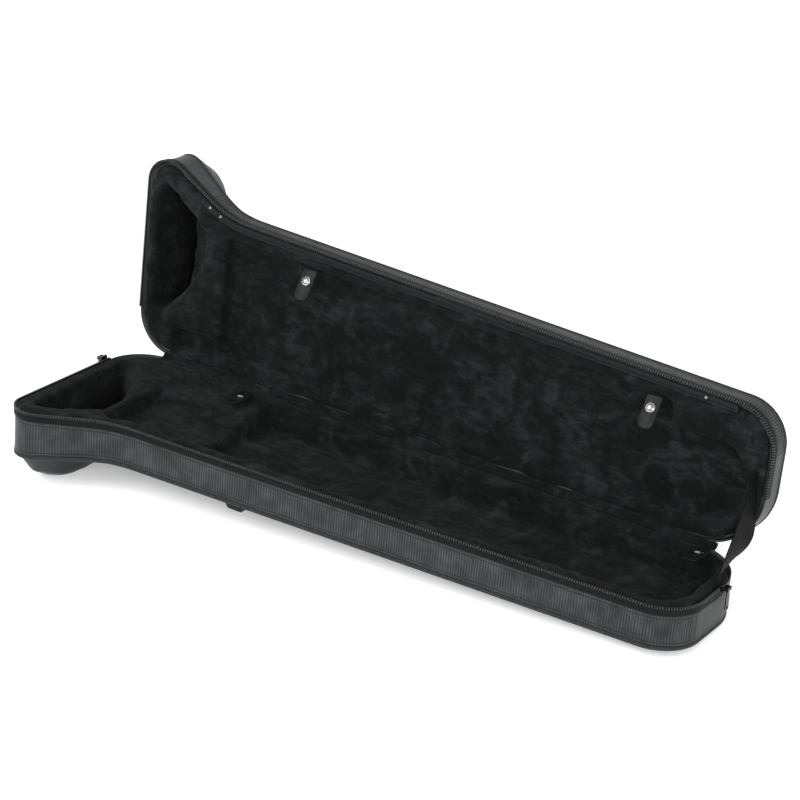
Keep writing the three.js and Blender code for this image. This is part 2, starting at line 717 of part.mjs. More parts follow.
function tapeSection() {
  const tapeEnd = COVER_RIM_DEPTH + TAPE_WIDTH;
  return boxSection(-LAYER_GAP - TAPE_THICKNESS, -LAYER_GAP, COVER_RIM_DEPTH, tapeEnd);
}

function coilSection() {
  return boxSection(-COIL_STAND_OUT, COIL_INSET, COIL_RIM_DEPTH, COIL_RIM_DEPTH + COIL_HEIGHT);
}

// Both halves are covered alike. The ribbed band starts at another corner on each of them.
function coveredHalf(half, ribbedFrom, ribbedTo) {
  const group = new THREE.Group();
  const n = half.name;
  const shellMaterial = half === BASE ? PLYWOOD : FOAM;
  group.add(named(n + "_shell", geometryOf(shell(half)), shellMaterial));
  group.add(named(n + "_foam_insert", geometryOf(insert(half)), FOAM));
  group.add(named(n + "_plush_lining", geometryOf(lining(half)), PLUSH));
  group.add(named(n + "_face_panel", geometryOf(panel(half)), NYLON));
  group.add(named(n + "_piping", rimSweep(half, pipingSection()), PIPING_CLOTH));
  const ribbed = rimSweep(half, bandSection(), ribbedFrom, ribbedTo);
  group.add(named(n + "_ribbed_band", ribbed, RIBBED_NYLON));
  const plain = rimSweep(half, bandSection(), ribbedTo, ribbedFrom);
  group.add(named(n + "_plain_band", plain, NYLON));
  const tape = rimSweep(half, tapeSection(), BELL_BACK.last, NARROW_BACK.first);
  group.add(named(n + "_zip_tape", tape, ZIP_NYLON));
  const coil = rimSweep(half, coilSection(), BELL_BACK.last, NARROW_BACK.first);
  group.add(named(n + "_zip_coil", coil, ZIP_NYLON));
  return group;
}

// Hinge cloth: one strip down the back of the base, round the crease and along the back of the lid

function hingeCloth() {
  const near = LAYER_GAP;
  const far = LAYER_GAP + HINGE_CLOTH_THICKNESS;
  const lidWay = new THREE.Vector2(Math.sin(OPEN_ANGLE), Math.cos(OPEN_ANGLE));
  const lidOut = new THREE.Vector2(Math.cos(OPEN_ANGLE), -Math.sin(OPEN_ANGLE));
  const onLid = (along, out) => lidWay.clone().multiplyScalar(along).addScaledVector(lidOut, out);
  const crease = 2 * far;
  const section = [
    new THREE.Vector2(near, -HINGE_CLOTH_WIDTH),
    new THREE.Vector2(far, -HINGE_CLOTH_WIDTH),
    onLid(crease, far).setX(far),
    onLid(crease, far),
    onLid(HINGE_CLOTH_WIDTH, far),
    onLid(HINGE_CLOTH_WIDTH, near),
    onLid(near, near).setX(near),
  ];
  const start = BELL_BACK_RADIUS;
  const length = CASE_LENGTH - NARROW_BACK_RADIUS - start;
  const strip = extruded(section, length).applyMatrix4(ALONG_X).translate(start, 0, 0);
  return named("hinge_cloth", strip, NYLON);
}

// Throat block of the base. Its top steps down from the hinge side to the bell's tube.

function throatBlock() {
  const corners = baseTrayCorners(BASE_TRAY_START + THROAT_LENGTH, TRAY_THROAT_RADIUS);
  const plan = planOutline(corners, THROAT_CLEARANCE).points;
  const foot = -BASE_TRAY_DEPTH + LAYER_GAP;
  const block = solidOf(prism(plan, foot, -THROAT_TOP_DEPTH));
  const side = [
    new THREE.Vector2(0, foot),
    new THREE.Vector2(0, -THROAT_TOP_DEPTH),
    new THREE.Vector2(-THROAT_STEP_FROM_HINGE, -THROAT_TOP_DEPTH),
    new THREE.Vector2(-THROAT_STEP_FROM_HINGE - THROAT_STEP_RUN, -THROAT_SHELF_DEPTH),
    new THREE.Vector2(-BELL_END_WIDTH, -THROAT_SHELF_DEPTH),
    new THREE.Vector2(-BELL_END_WIDTH, foot),
  ];
  const steps = extruded(side, CASE_LENGTH).applyMatrix4(ALONG_X);
  return named("base_throat_block", geometryOf(block.intersect(solidOf(steps))), PLUSH);
}

// Snap straps. A strap's own frame: the fold lies on X, the strap runs along -Y, its face is +Z.

const FOLD_RADIUS = LEATHER_THICKNESS + LAYER_GAP / 2;
const FLAP_BOTTOM = LAYER_GAP / 2;
const FLAP_TOP = FOLD_RADIUS;

function strapOutline(start, length) {
  const half = STRAP_WIDTH / 2;
  const corners = [
    { x: -half, y: -start, r: 0 },
    { x: -half, y: -length, r: STRAP_END_RADIUS },
    { x: half, y: -length, r: STRAP_END_RADIUS },
    { x: half, y: -start, r: 0 },
  ];
  return planOutline(corners, 0).points;
}

function strapFlap(name) {
  const hole = circlePoints(SNAP_HOLE_RADIUS, ROUND_STEPS, 0, -SNAP_FROM_FOLD);
  const sheet = extruded(strapOutline(0, STRAP_LENGTH), LEATHER_THICKNESS, [hole]);
  sheet.translate(0, 0, FLAP_BOTTOM);
  const roll = extruded(circlePoints(FOLD_RADIUS, FOLD_STEPS), STRAP_WIDTH);
  roll.applyMatrix4(ALONG_X).translate(-STRAP_WIDTH / 2, 0, 0);
  return named(name, geometryOf(solidOf(sheet).add(solidOf(roll))), LEATHER);
}

function strapBacking(name) {
  const start = FOLD_RADIUS + LAYER_GAP;
  const sheet = extruded(strapOutline(start, STRAP_BACKING_LENGTH), LEATHER_THICKNESS);
  sheet.translate(0, 0, -FOLD_RADIUS);
  return named(name, sheet, LEATHER);
}

function snapCap(name) {
  const dome = new THREE.SplineCurve([
    new THREE.Vector2(SNAP_CAP_RADIUS, SNAP_RIM_HEIGHT),
    new THREE.Vector2(
      SNAP_CAP_RADIUS * SNAP_SHOULDER_RADIUS_SHARE,
      SNAP_CAP_HEIGHT * SNAP_SHOULDER_HEIGHT_SHARE,
    ),
    new THREE.Vector2(0, SNAP_CAP_HEIGHT),
  ]).getPoints(SNAP_DOME_STEPS);
  dome[dome.length - 1].x = 0;
  const profile = [new THREE.Vector2(0, 0), new THREE.Vector2(SNAP_CAP_RADIUS, 0), ...dome];
  const cap = new THREE.LatheGeometry(profile, ROUND_STEPS);
  cap.rotateX(Math.PI / 2).translate(0, -SNAP_FROM_FOLD, FLAP_TOP + LAYER_GAP);
  return named(name, cap, NICKEL);
}

function snapStud(name) {
  const stud = prism(
    circlePoints(SNAP_STUD_RADIUS, ROUND_STEPS, 0, -SNAP_FROM_FOLD),
    FLAP_BOTTOM,
    FLAP_BOTTOM + SNAP_STUD_HEIGHT,
  );
  return named(name, stud, NICKEL);
}

function snapStrap(name) {
  const group = new THREE.Group();
  group.add(strapFlap(name + "_flap"));
  group.add(strapBacking(name + "_backing"));
  group.add(snapCap(name + "_snap_cap"));
  group.add(snapStud(name + "_snap_stud"));
  return group;
}

function lidStraps() {
  const places = [LID_STRAP_FROM_BELL_END, CASE_LENGTH - LID_STRAP_FROM_NARROW_END];
  return places.map((x, i) => {
    const strap = snapStrap("slide_strap_" + (i + 1));
    const ledge = caseWidthAt(x) - LID_TRAY_FRONT_MARGIN;
    const y = -ledge + FOLD_RADIUS + STRAP_WALL_GAP;
    strap.rotation.x = Math.PI - LID_STRAP_LEAN;
    strap.position.set(x, y, LID_STRAP_RIM_DEPTH);
    return strap;
  });
}

function baseStraps() {
  const places = [
    new THREE.Vector2(BASE_STRAP_FROM_BELL_END, -WIDE_BASE_STRAP_FROM_HINGE),
    new THREE.Vector2(CASE_LENGTH - BASE_STRAP_FROM_NARROW_END, -NARROW_BASE_STRAP_FROM_HINGE),
  ];
  return places.map(({ x, y }, i) => {
    const strap = snapStrap("bell_strap_" + (i + 1));
    strap.position.set(x, y, -PLUSH_RIM_DEPTH + LAYER_GAP + FOLD_RADIUS);
    return strap;
  });
}

// Zip guard of the lid: a narrow cloth strip inside the zip, held down by small studs

const GUARD_DEPTH = PLUSH_RIM_DEPTH - LAYER_GAP - GUARD_THICKNESS;

function zipGuard() {
  const section = boxSection(
    GUARD_INSET,
    GUARD_INSET + GUARD_WIDTH,
    GUARD_DEPTH,
    GUARD_DEPTH + GUARD_THICKNESS,
  );
  const strip = solidOf(rimSweep(LID, section, BELL_FRONT.last, NARROW_FRONT.first));
  const ends = new THREE.Box2(
    new THREE.Vector2(GUARD_START, -BELL_END_WIDTH),
    new THREE.Vector2(CASE_LENGTH, 0),
  );
  const kept = [
    ends.min,
    new THREE.Vector2(ends.max.x, ends.min.y),
    ends.max,
    new THREE.Vector2(ends.min.x, ends.max.y),
  ];
  return named("zip_guard", geometryOf(strip.intersect(solidOf(prism(kept, 0, GUARD_WIDTH)))), NYLON);
}

// Y of a line inset from the front edge of the case.
function frontEdgeAt(inset, x) {
  const path = planOutline(CASE_CORNERS, inset).points;
  const i = path.findIndex((point, k) => k >= BELL_FRONT.last && path[k + 1].x > x);
  const share = (x - path[i].x) / (path[i + 1].x - path[i].x);
  return THREE.MathUtils.lerp(path[i].y, path[i + 1].y, share);
}

function guardStuds() {
  const top = GUARD_DEPTH - LAYER_GAP;
  const places = [
    GUARD_STUD_FROM_BELL_END,
    GUARD_STUD_FROM_BELL_END + GUARD_STUD_PITCH,
    CASE_LENGTH - GUARD_STUD_FROM_NARROW_END,
  ];
  return places.map((x, i) => {
    const y = frontEdgeAt(GUARD_STUD_INSET, x);
    const disc = prism(circlePoints(GUARD_STUD_RADIUS, ROUND_STEPS), top - GUARD_STUD_HEIGHT, top);
    const stud = named("zip_guard_stud_" + (i + 1), disc, NICKEL);
    stud.position.set(x, y, 0);
    return stud;
  });
}

// Zip sliders. A slider's own frame: +X points out of the case end, Y runs along the zip.

const PULL_EYE_RADIUS = PULL_PIN_RADIUS + PULL_PIN_CLEARANCE + PULL_EYE_WALL;
const PULL_PIN_X = SLIDER_THICKNESS + PULL_EYE_REACH;

function zipSlider(name) {
  const body = new THREE.BoxGeometry(SLIDER_THICKNESS, SLIDER_LENGTH, SLIDER_HEIGHT);
  body.translate(SLIDER_THICKNESS / 2, 0, 0);
  const pinLength = PULL_EYE_LENGTH + 2 * LAYER_GAP + 2 * PULL_LUG_THICKNESS;
  const pin = new THREE.CylinderGeometry(PULL_PIN_RADIUS, PULL_PIN_RADIUS, pinLength, ROUND_STEPS);
  pin.translate(PULL_PIN_X, 0, 0);
  let slider = solidOf(body).add(solidOf(pin));
  const lugReach = SLIDER_THICKNESS / 2 + PULL_EYE_REACH + 2 * PULL_PIN_RADIUS;
  [-1, 1].forEach((s) => {
    const lug = new THREE.BoxGeometry(lugReach, PULL_LUG_THICKNESS, 2 * PULL_EYE_RADIUS);
    const y = s * (PULL_EYE_LENGTH / 2 + LAYER_GAP + PULL_LUG_THICKNESS / 2);
    lug.translate(SLIDER_THICKNESS / 2 + lugReach / 2, y, 0);
    slider = slider.add(solidOf(lug));
  });
  return named(name, geometryOf(slider), NICKEL);
}

function pullTab(name) {
  const outer = circlePoints(PULL_EYE_RADIUS, ROUND_STEPS);
  const bore = circlePoints(PULL_PIN_RADIUS + PULL_PIN_CLEARANCE, ROUND_STEPS);
  const eye = extruded(outer, PULL_EYE_LENGTH, [bore]).applyMatrix4(ALONG_Y);
  eye.translate(0, PULL_EYE_LENGTH / 2, 0);
  const half = PULL_WIDTH / 2;
  const top = -PULL_EYE_RADIUS + PULL_EYE_WALL / 2;
  const corners = [
    { x: -PULL_EYE_LENGTH / 2, y: top, r: 0 },
    { x: -half, y: top - PULL_WIDTH, r: 0 },
    { x: -half, y: top - PULL_LENGTH, r: PULL_END_RADIUS },
    { x: half, y: top - PULL_LENGTH, r: PULL_END_RADIUS },
    { x: half, y: top - PULL_WIDTH, r: 0 },
    { x: PULL_EYE_LENGTH / 2, y: top, r: 0 },
  ];
  const hole = circlePoints(PULL_HOLE_RADIUS, ROUND_STEPS, 0, top - PULL_LENGTH + half);
  const plate = extruded(planOutline(corners, 0).points, PULL_THICKNESS, [hole]).applyMatrix4(ALONG_X);
  plate.translate(-PULL_THICKNESS / 2, 0, 0);
  const pull = named(name, geometryOf(solidOf(eye).add(solidOf(plate))), NICKEL);
  pull.position.x = PULL_PIN_X;
  return pull;
}

function sliderAt(name, x, y, outward) {
  const group = new THREE.Group();
  const pull = pullTab(name + "_pull_tab");
  pull.rotation.y = -outward * Math.atan(FLOOR_RISE_ALONG);
  group.add(zipSlider(name + "_slider"), pull);
  group.position.set(x, y, 0);
  group.rotation.z = outward > 0 ? 0 : Math.PI;
  return group;
}

function zipSliders() {
  const off = COIL_STAND_OUT + LAYER_GAP;
  const bellY = -BELL_BACK_RADIUS - SLIDER_FROM_ARC;
  const narrowY = -NARROW_BACK_RADIUS - SLIDER_FROM_ARC;
  return [
    sliderAt("bell_end_zip", -off, bellY, -1),
    sliderAt("narrow_end_zip", CASE_LENGTH + off, narrowY, 1),
  ];
}

// Carry handle: a wire bail with a rubber grip, in two brackets riveted to the spine.
// Its own frame: the pivot is the X axis, the spine's cloth is the plane behind it at -Y.

const BRACKET_OFF_CENTRE =
  HANDLE_SPAN / 2 - HANDLE_BAR_CORNER - BRACKET_BLOCK_LENGTH / 2 - LAYER_GAP;
const BAIL_END = BRACKET_OFF_CENTRE - BRACKET_BLOCK_LENGTH / 2 - BAIL_END_STAND_OUT;
const BRACKET_BACK = LAYER_GAP - HANDLE_PIVOT_STAND_OFF;

function barAlongX(radius, length, steps = ROUND_STEPS) {
  const bar = extruded(circlePoints(radius, steps), length);
  return bar.applyMatrix4(ALONG_X).translate(-length / 2, 0, 0);
}

function bailPath() {
  const half = HANDLE_SPAN / 2;
  const corners = [
    new THREE.Vector3(-BAIL_END, 0, 0),
    new THREE.Vector3(-half, 0, 0),
    new THREE.Vector3(-half, 0, -HANDLE_REACH),
    new THREE.Vector3(half, 0, -HANDLE_REACH),
    new THREE.Vector3(half, 0, 0),
    new THREE.Vector3(BAIL_END, 0, 0),
  ];
  const toward = (from, to) => from.clone().add(to.clone().sub(from).setLength(HANDLE_BAR_CORNER));
  const path = new THREE.CurvePath();
  let start = corners[0];
  for (let i = 1; i < corners.length - 1; i += 1) {
    const before = toward(corners[i], corners[i - 1]);
    const after = toward(corners[i], corners[i + 1]);
    path.add(new THREE.LineCurve3(start, before));
    path.add(new THREE.QuadraticBezierCurve3(before, corners[i], after));
    start = after;
  }
  path.add(new THREE.LineCurve3(start, corners[corners.length - 1]));
  return path;
}

function handleBail() {
  const wire = new THREE.ExtrudeGeometry(new THREE.Shape(circlePoints(HANDLE_BAR_RADIUS, BAIL_SIDES)), {
    steps: BAIL_STEPS,
    extrudePath: bailPath(),
    bevelEnabled: false,
  });
  return named("handle_bail", wire, NICKEL);
}

function handleGrip() {
  const outer = solidOf(barAlongX(HANDLE_GRIP_RADIUS, HANDLE_GRIP_LENGTH));
  const bore = solidOf(barAlongX(HANDLE_BAR_RADIUS + LAYER_GAP, 2 * HANDLE_GRIP_LENGTH));
  const grip = named("handle_grip", geometryOf(outer.subtract(bore)), GRIP_RUBBER);
  grip.position.z = -HANDLE_REACH;
  return grip;
}

function handleBracket(name, x) {
  const eyeRadius = HANDLE_BAR_RADIUS + HANDLE_EYE_CLEARANCE + BRACKET_BLOCK_WALL;
  const plate = new THREE.BoxGeometry(BRACKET_WIDTH, BRACKET_THICKNESS, BRACKET_HEIGHT);
  plate.translate(0, BRACKET_BACK + BRACKET_THICKNESS / 2, 0);
  const stem = new THREE.BoxGeometry(BRACKET_BLOCK_LENGTH, -BRACKET_BACK, 2 * eyeRadius);
  stem.translate(0, BRACKET_BACK / 2, 0);
  const eye = solidOf(barAlongX(eyeRadius, BRACKET_BLOCK_LENGTH));
  const bore = solidOf(barAlongX(HANDLE_BAR_RADIUS + HANDLE_EYE_CLEARANCE, 2 * BRACKET_WIDTH));
  const body = solidOf(plate).add(solidOf(stem)).add(eye).subtract(bore);
  const bracket = named(name, geometryOf(body), NICKEL);
  bracket.position.x = x;
  return bracket;
}

function bracketRivet(name, x) {
  const rivet = new THREE.CylinderGeometry(RIVET_RADIUS, RIVET_RADIUS, RIVET_HEIGHT, ROUND_STEPS);
  const onPlate = BRACKET_BACK + BRACKET_THICKNESS + LAYER_GAP;
  rivet.translate(x, onPlate + RIVET_HEIGHT / 2, 0);
  return named(name, rivet, NICKEL);
}

function carryHandle() {
  const group = new THREE.Group();
  const rivetOffCentre = BRACKET_WIDTH / 2 - RIVET_FROM_BRACKET_END;
  let rivets = 0;
  [-1, 1].forEach((s, i) => {
    const x = s * BRACKET_OFF_CENTRE;
    group.add(handleBracket("handle_bracket_" + (i + 1), x));
    [-1, 1].forEach((t) => {
      rivets += 1;
      group.add(bracketRivet("handle_rivet_" + rivets, x + t * rivetOffCentre));
    });
  });
  const hanging = new THREE.Group();
  hanging.add(handleBail(), handleGrip());
  hanging.rotation.x = FLOOR_LEAN;
  group.add(hanging);
  group.position.set(HANDLE_PLACE, HANDLE_PIVOT_STAND_OFF, -HANDLE_PIVOT_DEPTH);
  return group;
}

// Webbing tab under the front seam

function seamTab() {
  const outer = TAB_OPENING / 2 + TAB_THICKNESS;
  const legs = TAB_DROP - outer;
  const arc = (radius, from, to) =>
    Array.from({ length: FOLD_STEPS + 1 }, (_, k) => {
      const angle = from + ((to - from) * k) / FOLD_STEPS;
      return new THREE.Vector2(radius * Math.cos(angle), -legs + radius * Math.sin(angle));
    });
  const section = [
    new THREE.Vector2(-outer, 0),
    ...arc(outer, Math.PI, 2 * Math.PI),
    new THREE.Vector2(outer, 0),
    new THREE.Vector2(TAB_OPENING / 2, 0),
    ...arc(TAB_OPENING / 2, 2 * Math.PI, Math.PI),
    new THREE.Vector2(-TAB_OPENING / 2, 0),
  ];
  const loop = extruded(section, TAB_LENGTH).applyMatrix4(ALONG_X);
  const y = -caseWidthAt(TAB_PLACE) + TAB_FROM_FRONT + outer;
  const z = -edgeDepth(BASE, TAB_PLACE) - LAYER_GAP;
  loop.translate(TAB_PLACE - TAB_LENGTH / 2, y, z);
  return named("seam_tab", loop, PIPING_CLOTH);
}

// Webbing stay at the narrow end: it stops the lid when it is open

// Distance along the case to a point inset from the rounded narrow end.
function narrowEndAt(inset, fromHinge) {
  const radius = NARROW_BACK_RADIUS - inset;
  const rise = Math.max(0, NARROW_BACK_RADIUS - fromHinge);
  return CASE_LENGTH - NARROW_BACK_RADIUS + Math.sqrt(radius ** 2 - rise ** 2);
}

function lidStay() {
  const toLid = new THREE.Matrix4().makeRotationX(-OPEN_ANGLE);
  const mix = THREE.MathUtils.lerp;
  const points = [];
  for (let i = 0; i <= STAY_STEPS; i += 1) {
    const up = i / STAY_STEPS;
    [0, 1].forEach((toHinge) => {
      const foot = mix(STAY_FOOT_FAR_FROM_HINGE, STAY_FOOT_NEAR_FROM_HINGE, toHinge);
      const head = mix(STAY_HEAD_FAR_FROM_HINGE, STAY_HEAD_NEAR_FROM_HINGE, toHinge);
      const footInset = mix(STAY_FOOT_FAR_INSET, STAY_NEAR_INSET, toHinge);
      const headInset = mix(STAY_HEAD_FAR_INSET, STAY_NEAR_INSET, toHinge);
      const low = new THREE.Vector3(narrowEndAt(footInset, foot), -foot, -STAY_RIM_DEPTH);
      const high = new THREE.Vector3(narrowEndAt(headInset, head), -head, STAY_RIM_DEPTH);
      const at = low.clone().lerp(high.applyMatrix4(toLid), up);
      const slack = Math.sin(Math.PI * up);
      const pull = slack * STAY_DRAW_IN * (1 - toHinge);
      at.add(new THREE.Vector3(slack * STAY_BOW * toHinge, pull, -pull));
      [-1, 1].forEach((s) => {
        points.push(at.clone().add(new THREE.Vector3((s * STAY_THICKNESS) / 2, 0, 0)));
      });
    });
  }
  const ring = [0, 1, 3, 2];
  const triangles = [];
  const quad = (a, b, c, d) => triangles.push([a, b, c], [a, c, d]);
  for (let i = 0; i < STAY_STEPS; i += 1) {
    const here = ring.length * i;
    const next = here + ring.length;
    ring.forEach((j, n) => {
      const k = ring[(n + 1) % ring.length];
      quad(here + j, here + k, next + k, next + j);
    });
  }
  quad(ring[0], ring[3], ring[2], ring[1]);
  const last = ring.length * STAY_STEPS;
  quad(last + ring[0], last + ring[1], last + ring[2], last + ring[3]);
  return named("lid_stay", closedGeometry(points, triangles), RIBBED_NYLON);
}

// The whole case, open, tilted to stand on the floor, with its middle at the origin

const RIBBED_BASE_END = NARROW_FRONT.last - 1;

const lidHalf = coveredHalf(LID, NECK.first, NARROW_FRONT.last);
lidHalf.add(zipGuard(), ...guardStuds(), ...lidStraps());
lidHalf.rotation.x = -OPEN_ANGLE;

const baseHalf = coveredHalf(BASE, BELL_FRONT.first, RIBBED_BASE_END);
baseHalf.add(throatBlock(), ...baseStraps(), seamTab(), carryHandle());

const tilted = new THREE.Group();
tilted.add(baseHalf, lidHalf, hingeCloth(), lidStay(), ...zipSliders());
tilted.quaternion.setFromUnitVectors(FLOOR_UP, UP);

const box = new THREE.Box3().setFromObject(tilted, true);
const middle = box.getCenter(new THREE.Vector3());
tilted.position.set(-middle.x, -middle.y, -box.min.z);

const tromboneCase = new THREE.Group();
tromboneCase.add(tilted);
export default tromboneCase;
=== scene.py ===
# %% [markdown]
# # A soft trombone case, standing open
#
# The hard facts of this case (its size, its layers, what turns on what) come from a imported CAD
# frame. Here its cloth, plush, zips and leather are made over that frame, each as its own mesh
# with its own node material.

import math

import bmesh
import bpy
import numpy as np
from mathutils import Matrix, Vector, noise


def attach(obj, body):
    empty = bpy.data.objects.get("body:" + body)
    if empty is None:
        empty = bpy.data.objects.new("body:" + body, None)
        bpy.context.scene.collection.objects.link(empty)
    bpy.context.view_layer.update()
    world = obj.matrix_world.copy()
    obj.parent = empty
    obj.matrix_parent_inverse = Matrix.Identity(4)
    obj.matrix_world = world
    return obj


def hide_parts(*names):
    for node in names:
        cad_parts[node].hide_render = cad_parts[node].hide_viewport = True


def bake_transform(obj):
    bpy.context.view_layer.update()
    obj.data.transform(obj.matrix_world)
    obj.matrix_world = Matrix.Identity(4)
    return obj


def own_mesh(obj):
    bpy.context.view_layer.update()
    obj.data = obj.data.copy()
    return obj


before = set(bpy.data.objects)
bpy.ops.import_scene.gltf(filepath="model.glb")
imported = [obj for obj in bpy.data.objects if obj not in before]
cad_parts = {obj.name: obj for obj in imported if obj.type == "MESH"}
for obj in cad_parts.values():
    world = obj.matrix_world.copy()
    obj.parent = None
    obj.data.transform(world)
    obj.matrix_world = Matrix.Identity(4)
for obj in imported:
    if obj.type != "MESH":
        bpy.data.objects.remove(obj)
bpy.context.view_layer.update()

# %% [markdown]
# ## Two frames
#
# The case was drawn lying level: X from the bell end to the narrow end, the hinge on y = 0, the
# rim at z = 0. It really stands a little tilted, because it rests on its bulge. Pieces are made
# in the level frame and then moved by one matrix, which is simpler than thinking in a slope.

# %% The case's own frame, in metres
MM = 0.001
CASE_LENGTH = 940 * MM
CASE_ORIGIN = Vector((-469.726, 72.785, 93.105)) * MM
FLOOR_LEAN = math.radians(3.5)
FLOOR_RISE_ALONG = 0.03961
OPEN_ANGLE = math.radians(92.8)

floor_up = Vector((-FLOOR_RISE_ALONG, -math.tan(FLOOR_LEAN), 1)).normalized()
tilt = floor_up.rotation_difference(Vector((0, 0, 1))).to_matrix().to_4x4()
TO_ROW = Matrix.Translation(CASE_ORIGIN) @ tilt
LID_TO_ROW = TO_ROW @ Matrix.Rotation(-OPEN_ANGLE, 4, "X")
print("case origin in the row frame", [round(v, 4) for v in TO_ROW.translation])

# %% [markdown]
# ## Camera
#
# The camera's place, turn and focal length were solved from the photograph in the case's own
# frame, so it goes through the same matrix as the case. Setting it by eye would be quicker, but
# then a render couldn't be laid over the photograph to compare the two.

# %% Camera
IMAGE_WIDTH = 800
SENSOR_WIDTH = 36.0
FOCAL_PIXELS = 2535.8
CAMERA_PLACE = Vector((1975.93, -2534.12, 1361.72)) * MM
CAMERA_AZIMUTH = math.radians(-31.415)
CAMERA_ELEVATION = math.radians(23.829)
CAMERA_ROLL = math.radians(4.883)
CAMERA_REACH = 100


def camera_matrix():
    """Where the camera stands, with its sideways, upward and backward directions."""
    flat = math.cos(CAMERA_ELEVATION)
    sideways, forwards = math.sin(CAMERA_AZIMUTH) * flat, math.cos(CAMERA_AZIMUTH) * flat
    ahead = Vector((sideways, forwards, -math.sin(CAMERA_ELEVATION)))
    right = ahead.cross(Vector((0, 0, 1))).normalized()
    up = right.cross(ahead)
    turned = right * math.cos(CAMERA_ROLL) + up * math.sin(CAMERA_ROLL)
    upright = up * math.cos(CAMERA_ROLL) - right * math.sin(CAMERA_ROLL)
    turn = Matrix((turned, upright, -ahead)).transposed().to_4x4()
    return TO_ROW @ Matrix.Translation(CAMERA_PLACE) @ turn


camera = bpy.data.objects.new("camera", bpy.data.cameras.new("camera"))
camera.data.sensor_width = SENSOR_WIDTH
camera.data.lens = FOCAL_PIXELS / IMAGE_WIDTH * SENSOR_WIDTH
camera.data.clip_end = CAMERA_REACH
camera.matrix_world = camera_matrix()
bpy.context.scene.collection.objects.link(camera)
bpy.context.scene.camera = camera
print("lens", round(camera.data.lens, 1), "mm")

# %% [markdown]
# ## Light
#
# A product studio lights dark cloth from broad soft boxes, because a small lamp would only give
# it a few bright edges and leave the rest a silhouette. Here there are two round area lights and
# a white world. The Standard view keeps white as white, as in the photograph.

# %% Soft boxes and the world
WORLD_LIGHT = 1.05
# Each box has its place and its width in metres, and its power in watts.
SOFT_BOXES = {
    "key_light": ((-1.6, -2.4, 2.6), 2.2, 64),
    "fill_light": ((2.0, -2.4, 1.5), 1.6, 62),
}


def soft_box(name, place, width, watts):
    """A round lamp that faces the middle of the case."""
    light = bpy.data.lights.new(name, "AREA")
    light.shape = "DISK"
    light.size = width
    light.energy = watts
    lamp = bpy.data.objects.new(name, light)
    lamp.location = place
    lamp.rotation_euler = (-Vector(place)).to_track_quat("-Z", "Y").to_euler()
    bpy.context.scene.collection.objects.link(lamp)


for name, (place, width, watts) in SOFT_BOXES.items():
    soft_box(name, place, width, watts)
world = bpy.data.worlds.new("studio")
world.use_nodes = True
background = world.node_tree.nodes["Background"].inputs
background["Color"].default_value = (1, 1, 1, 1)
background["Strength"].default_value = WORLD_LIGHT
bpy.context.scene.world = world
bpy.context.scene.view_settings.view_transform = "Standard"
print("lights", *SOFT_BOXES)

# %% [markdown]
# ## Small tools for meshes
#
# Nearly every cloth part of this case is a strip that follows its rounded outline. So one helper
# walks the outline and another skins a grid of points. Each strip also stores where it is along
# and across the cloth, in metres, so that a weave can follow the cloth round the corners.

# %% Meshes from grids
def add_mesh(name, points, faces, matrix=None, weave=None, smooth=True):
    """A mesh object whose faces all look outwards, with its weave places stored on it."""
    mesh = bpy.data.meshes.new(name)
    mesh.from_pydata([tuple(p) for p in np.asarray(points, float)], [], [tuple(f) for f in faces])
    if weave is not None:
        layer = mesh.attributes.new("weave", "FLOAT_VECTOR", "POINT")
        layer.data.foreach_set("vector", np.asarray(weave, np.float32).ravel())
    if matrix is not None:
        mesh.transform(matrix)
    made = bmesh.new()
    made.from_mesh(mesh)
    bmesh.ops.recalc_face_normals(made, faces=made.faces)
    made.to_mesh(mesh)
    made.free()
    mesh.polygons.foreach_set("use_smooth", [smooth] * len(mesh.polygons))
    piece = bpy.data.objects.new(name, mesh)
    bpy.context.scene.collection.objects.link(piece)
    return piece


def ring_faces(rows, columns, closed):
    """Faces between neighbouring rings. A closed strip also joins its last ring to its first."""
    faces = []
    for i in range(rows if closed else rows - 1):
        here, there = i * columns, ((i + 1) % rows) * columns
        for j in range(columns):
            k = (j + 1) % columns
            faces.append((here + j, here + k, there + k, there + j))
    return faces


def skin(name, rings, matrix=None, weave=None, closed=False):
    """A tube of rings, each a closed loop of points, with flat ends unless it closes on itself."""
    rings = np.asarray(rings, float)
    rows, columns = rings.shape[:2]
    faces = ring_faces(rows, columns, closed)
    if not closed:
        faces.append(tuple(range(columns)))
        faces.append(tuple((rows - 1) * columns + j for j in reversed(range(columns))))
    flat_weave = None if weave is None else np.asarray(weave, float).reshape(-1, 3)
    return add_mesh(name, rings.reshape(-1, 3), faces, matrix, flat_weave)


def circle_turns(sides):
    return [2 * math.pi * k / sides for k in range(sides)]


# Each seed starts the noise at another place, by uneven steps along X, Y and Z.
SEED_STRIDES = (1, 3.1, 7.7)


def wrinkle(points, size, height, seed):
    """A smooth random height for each point, as cloth has that isn't quite flat."""
    shift = Vector([seed * stride for stride in SEED_STRIDES])
    return np.array([noise.noise(Vector(p) / size + shift) for p in points]) * height


print("mesh helpers ready")

# %% [markdown]
# ## The outline
#
# The plan is a long trapezoid that widens at a neck to hold the bell. Straight runs and arcs are
# walked in even steps. Each step keeps its outward direction, so any layer of the case is the
# same walk moved in or out. A drawn curve would give the same line, but not those directions.

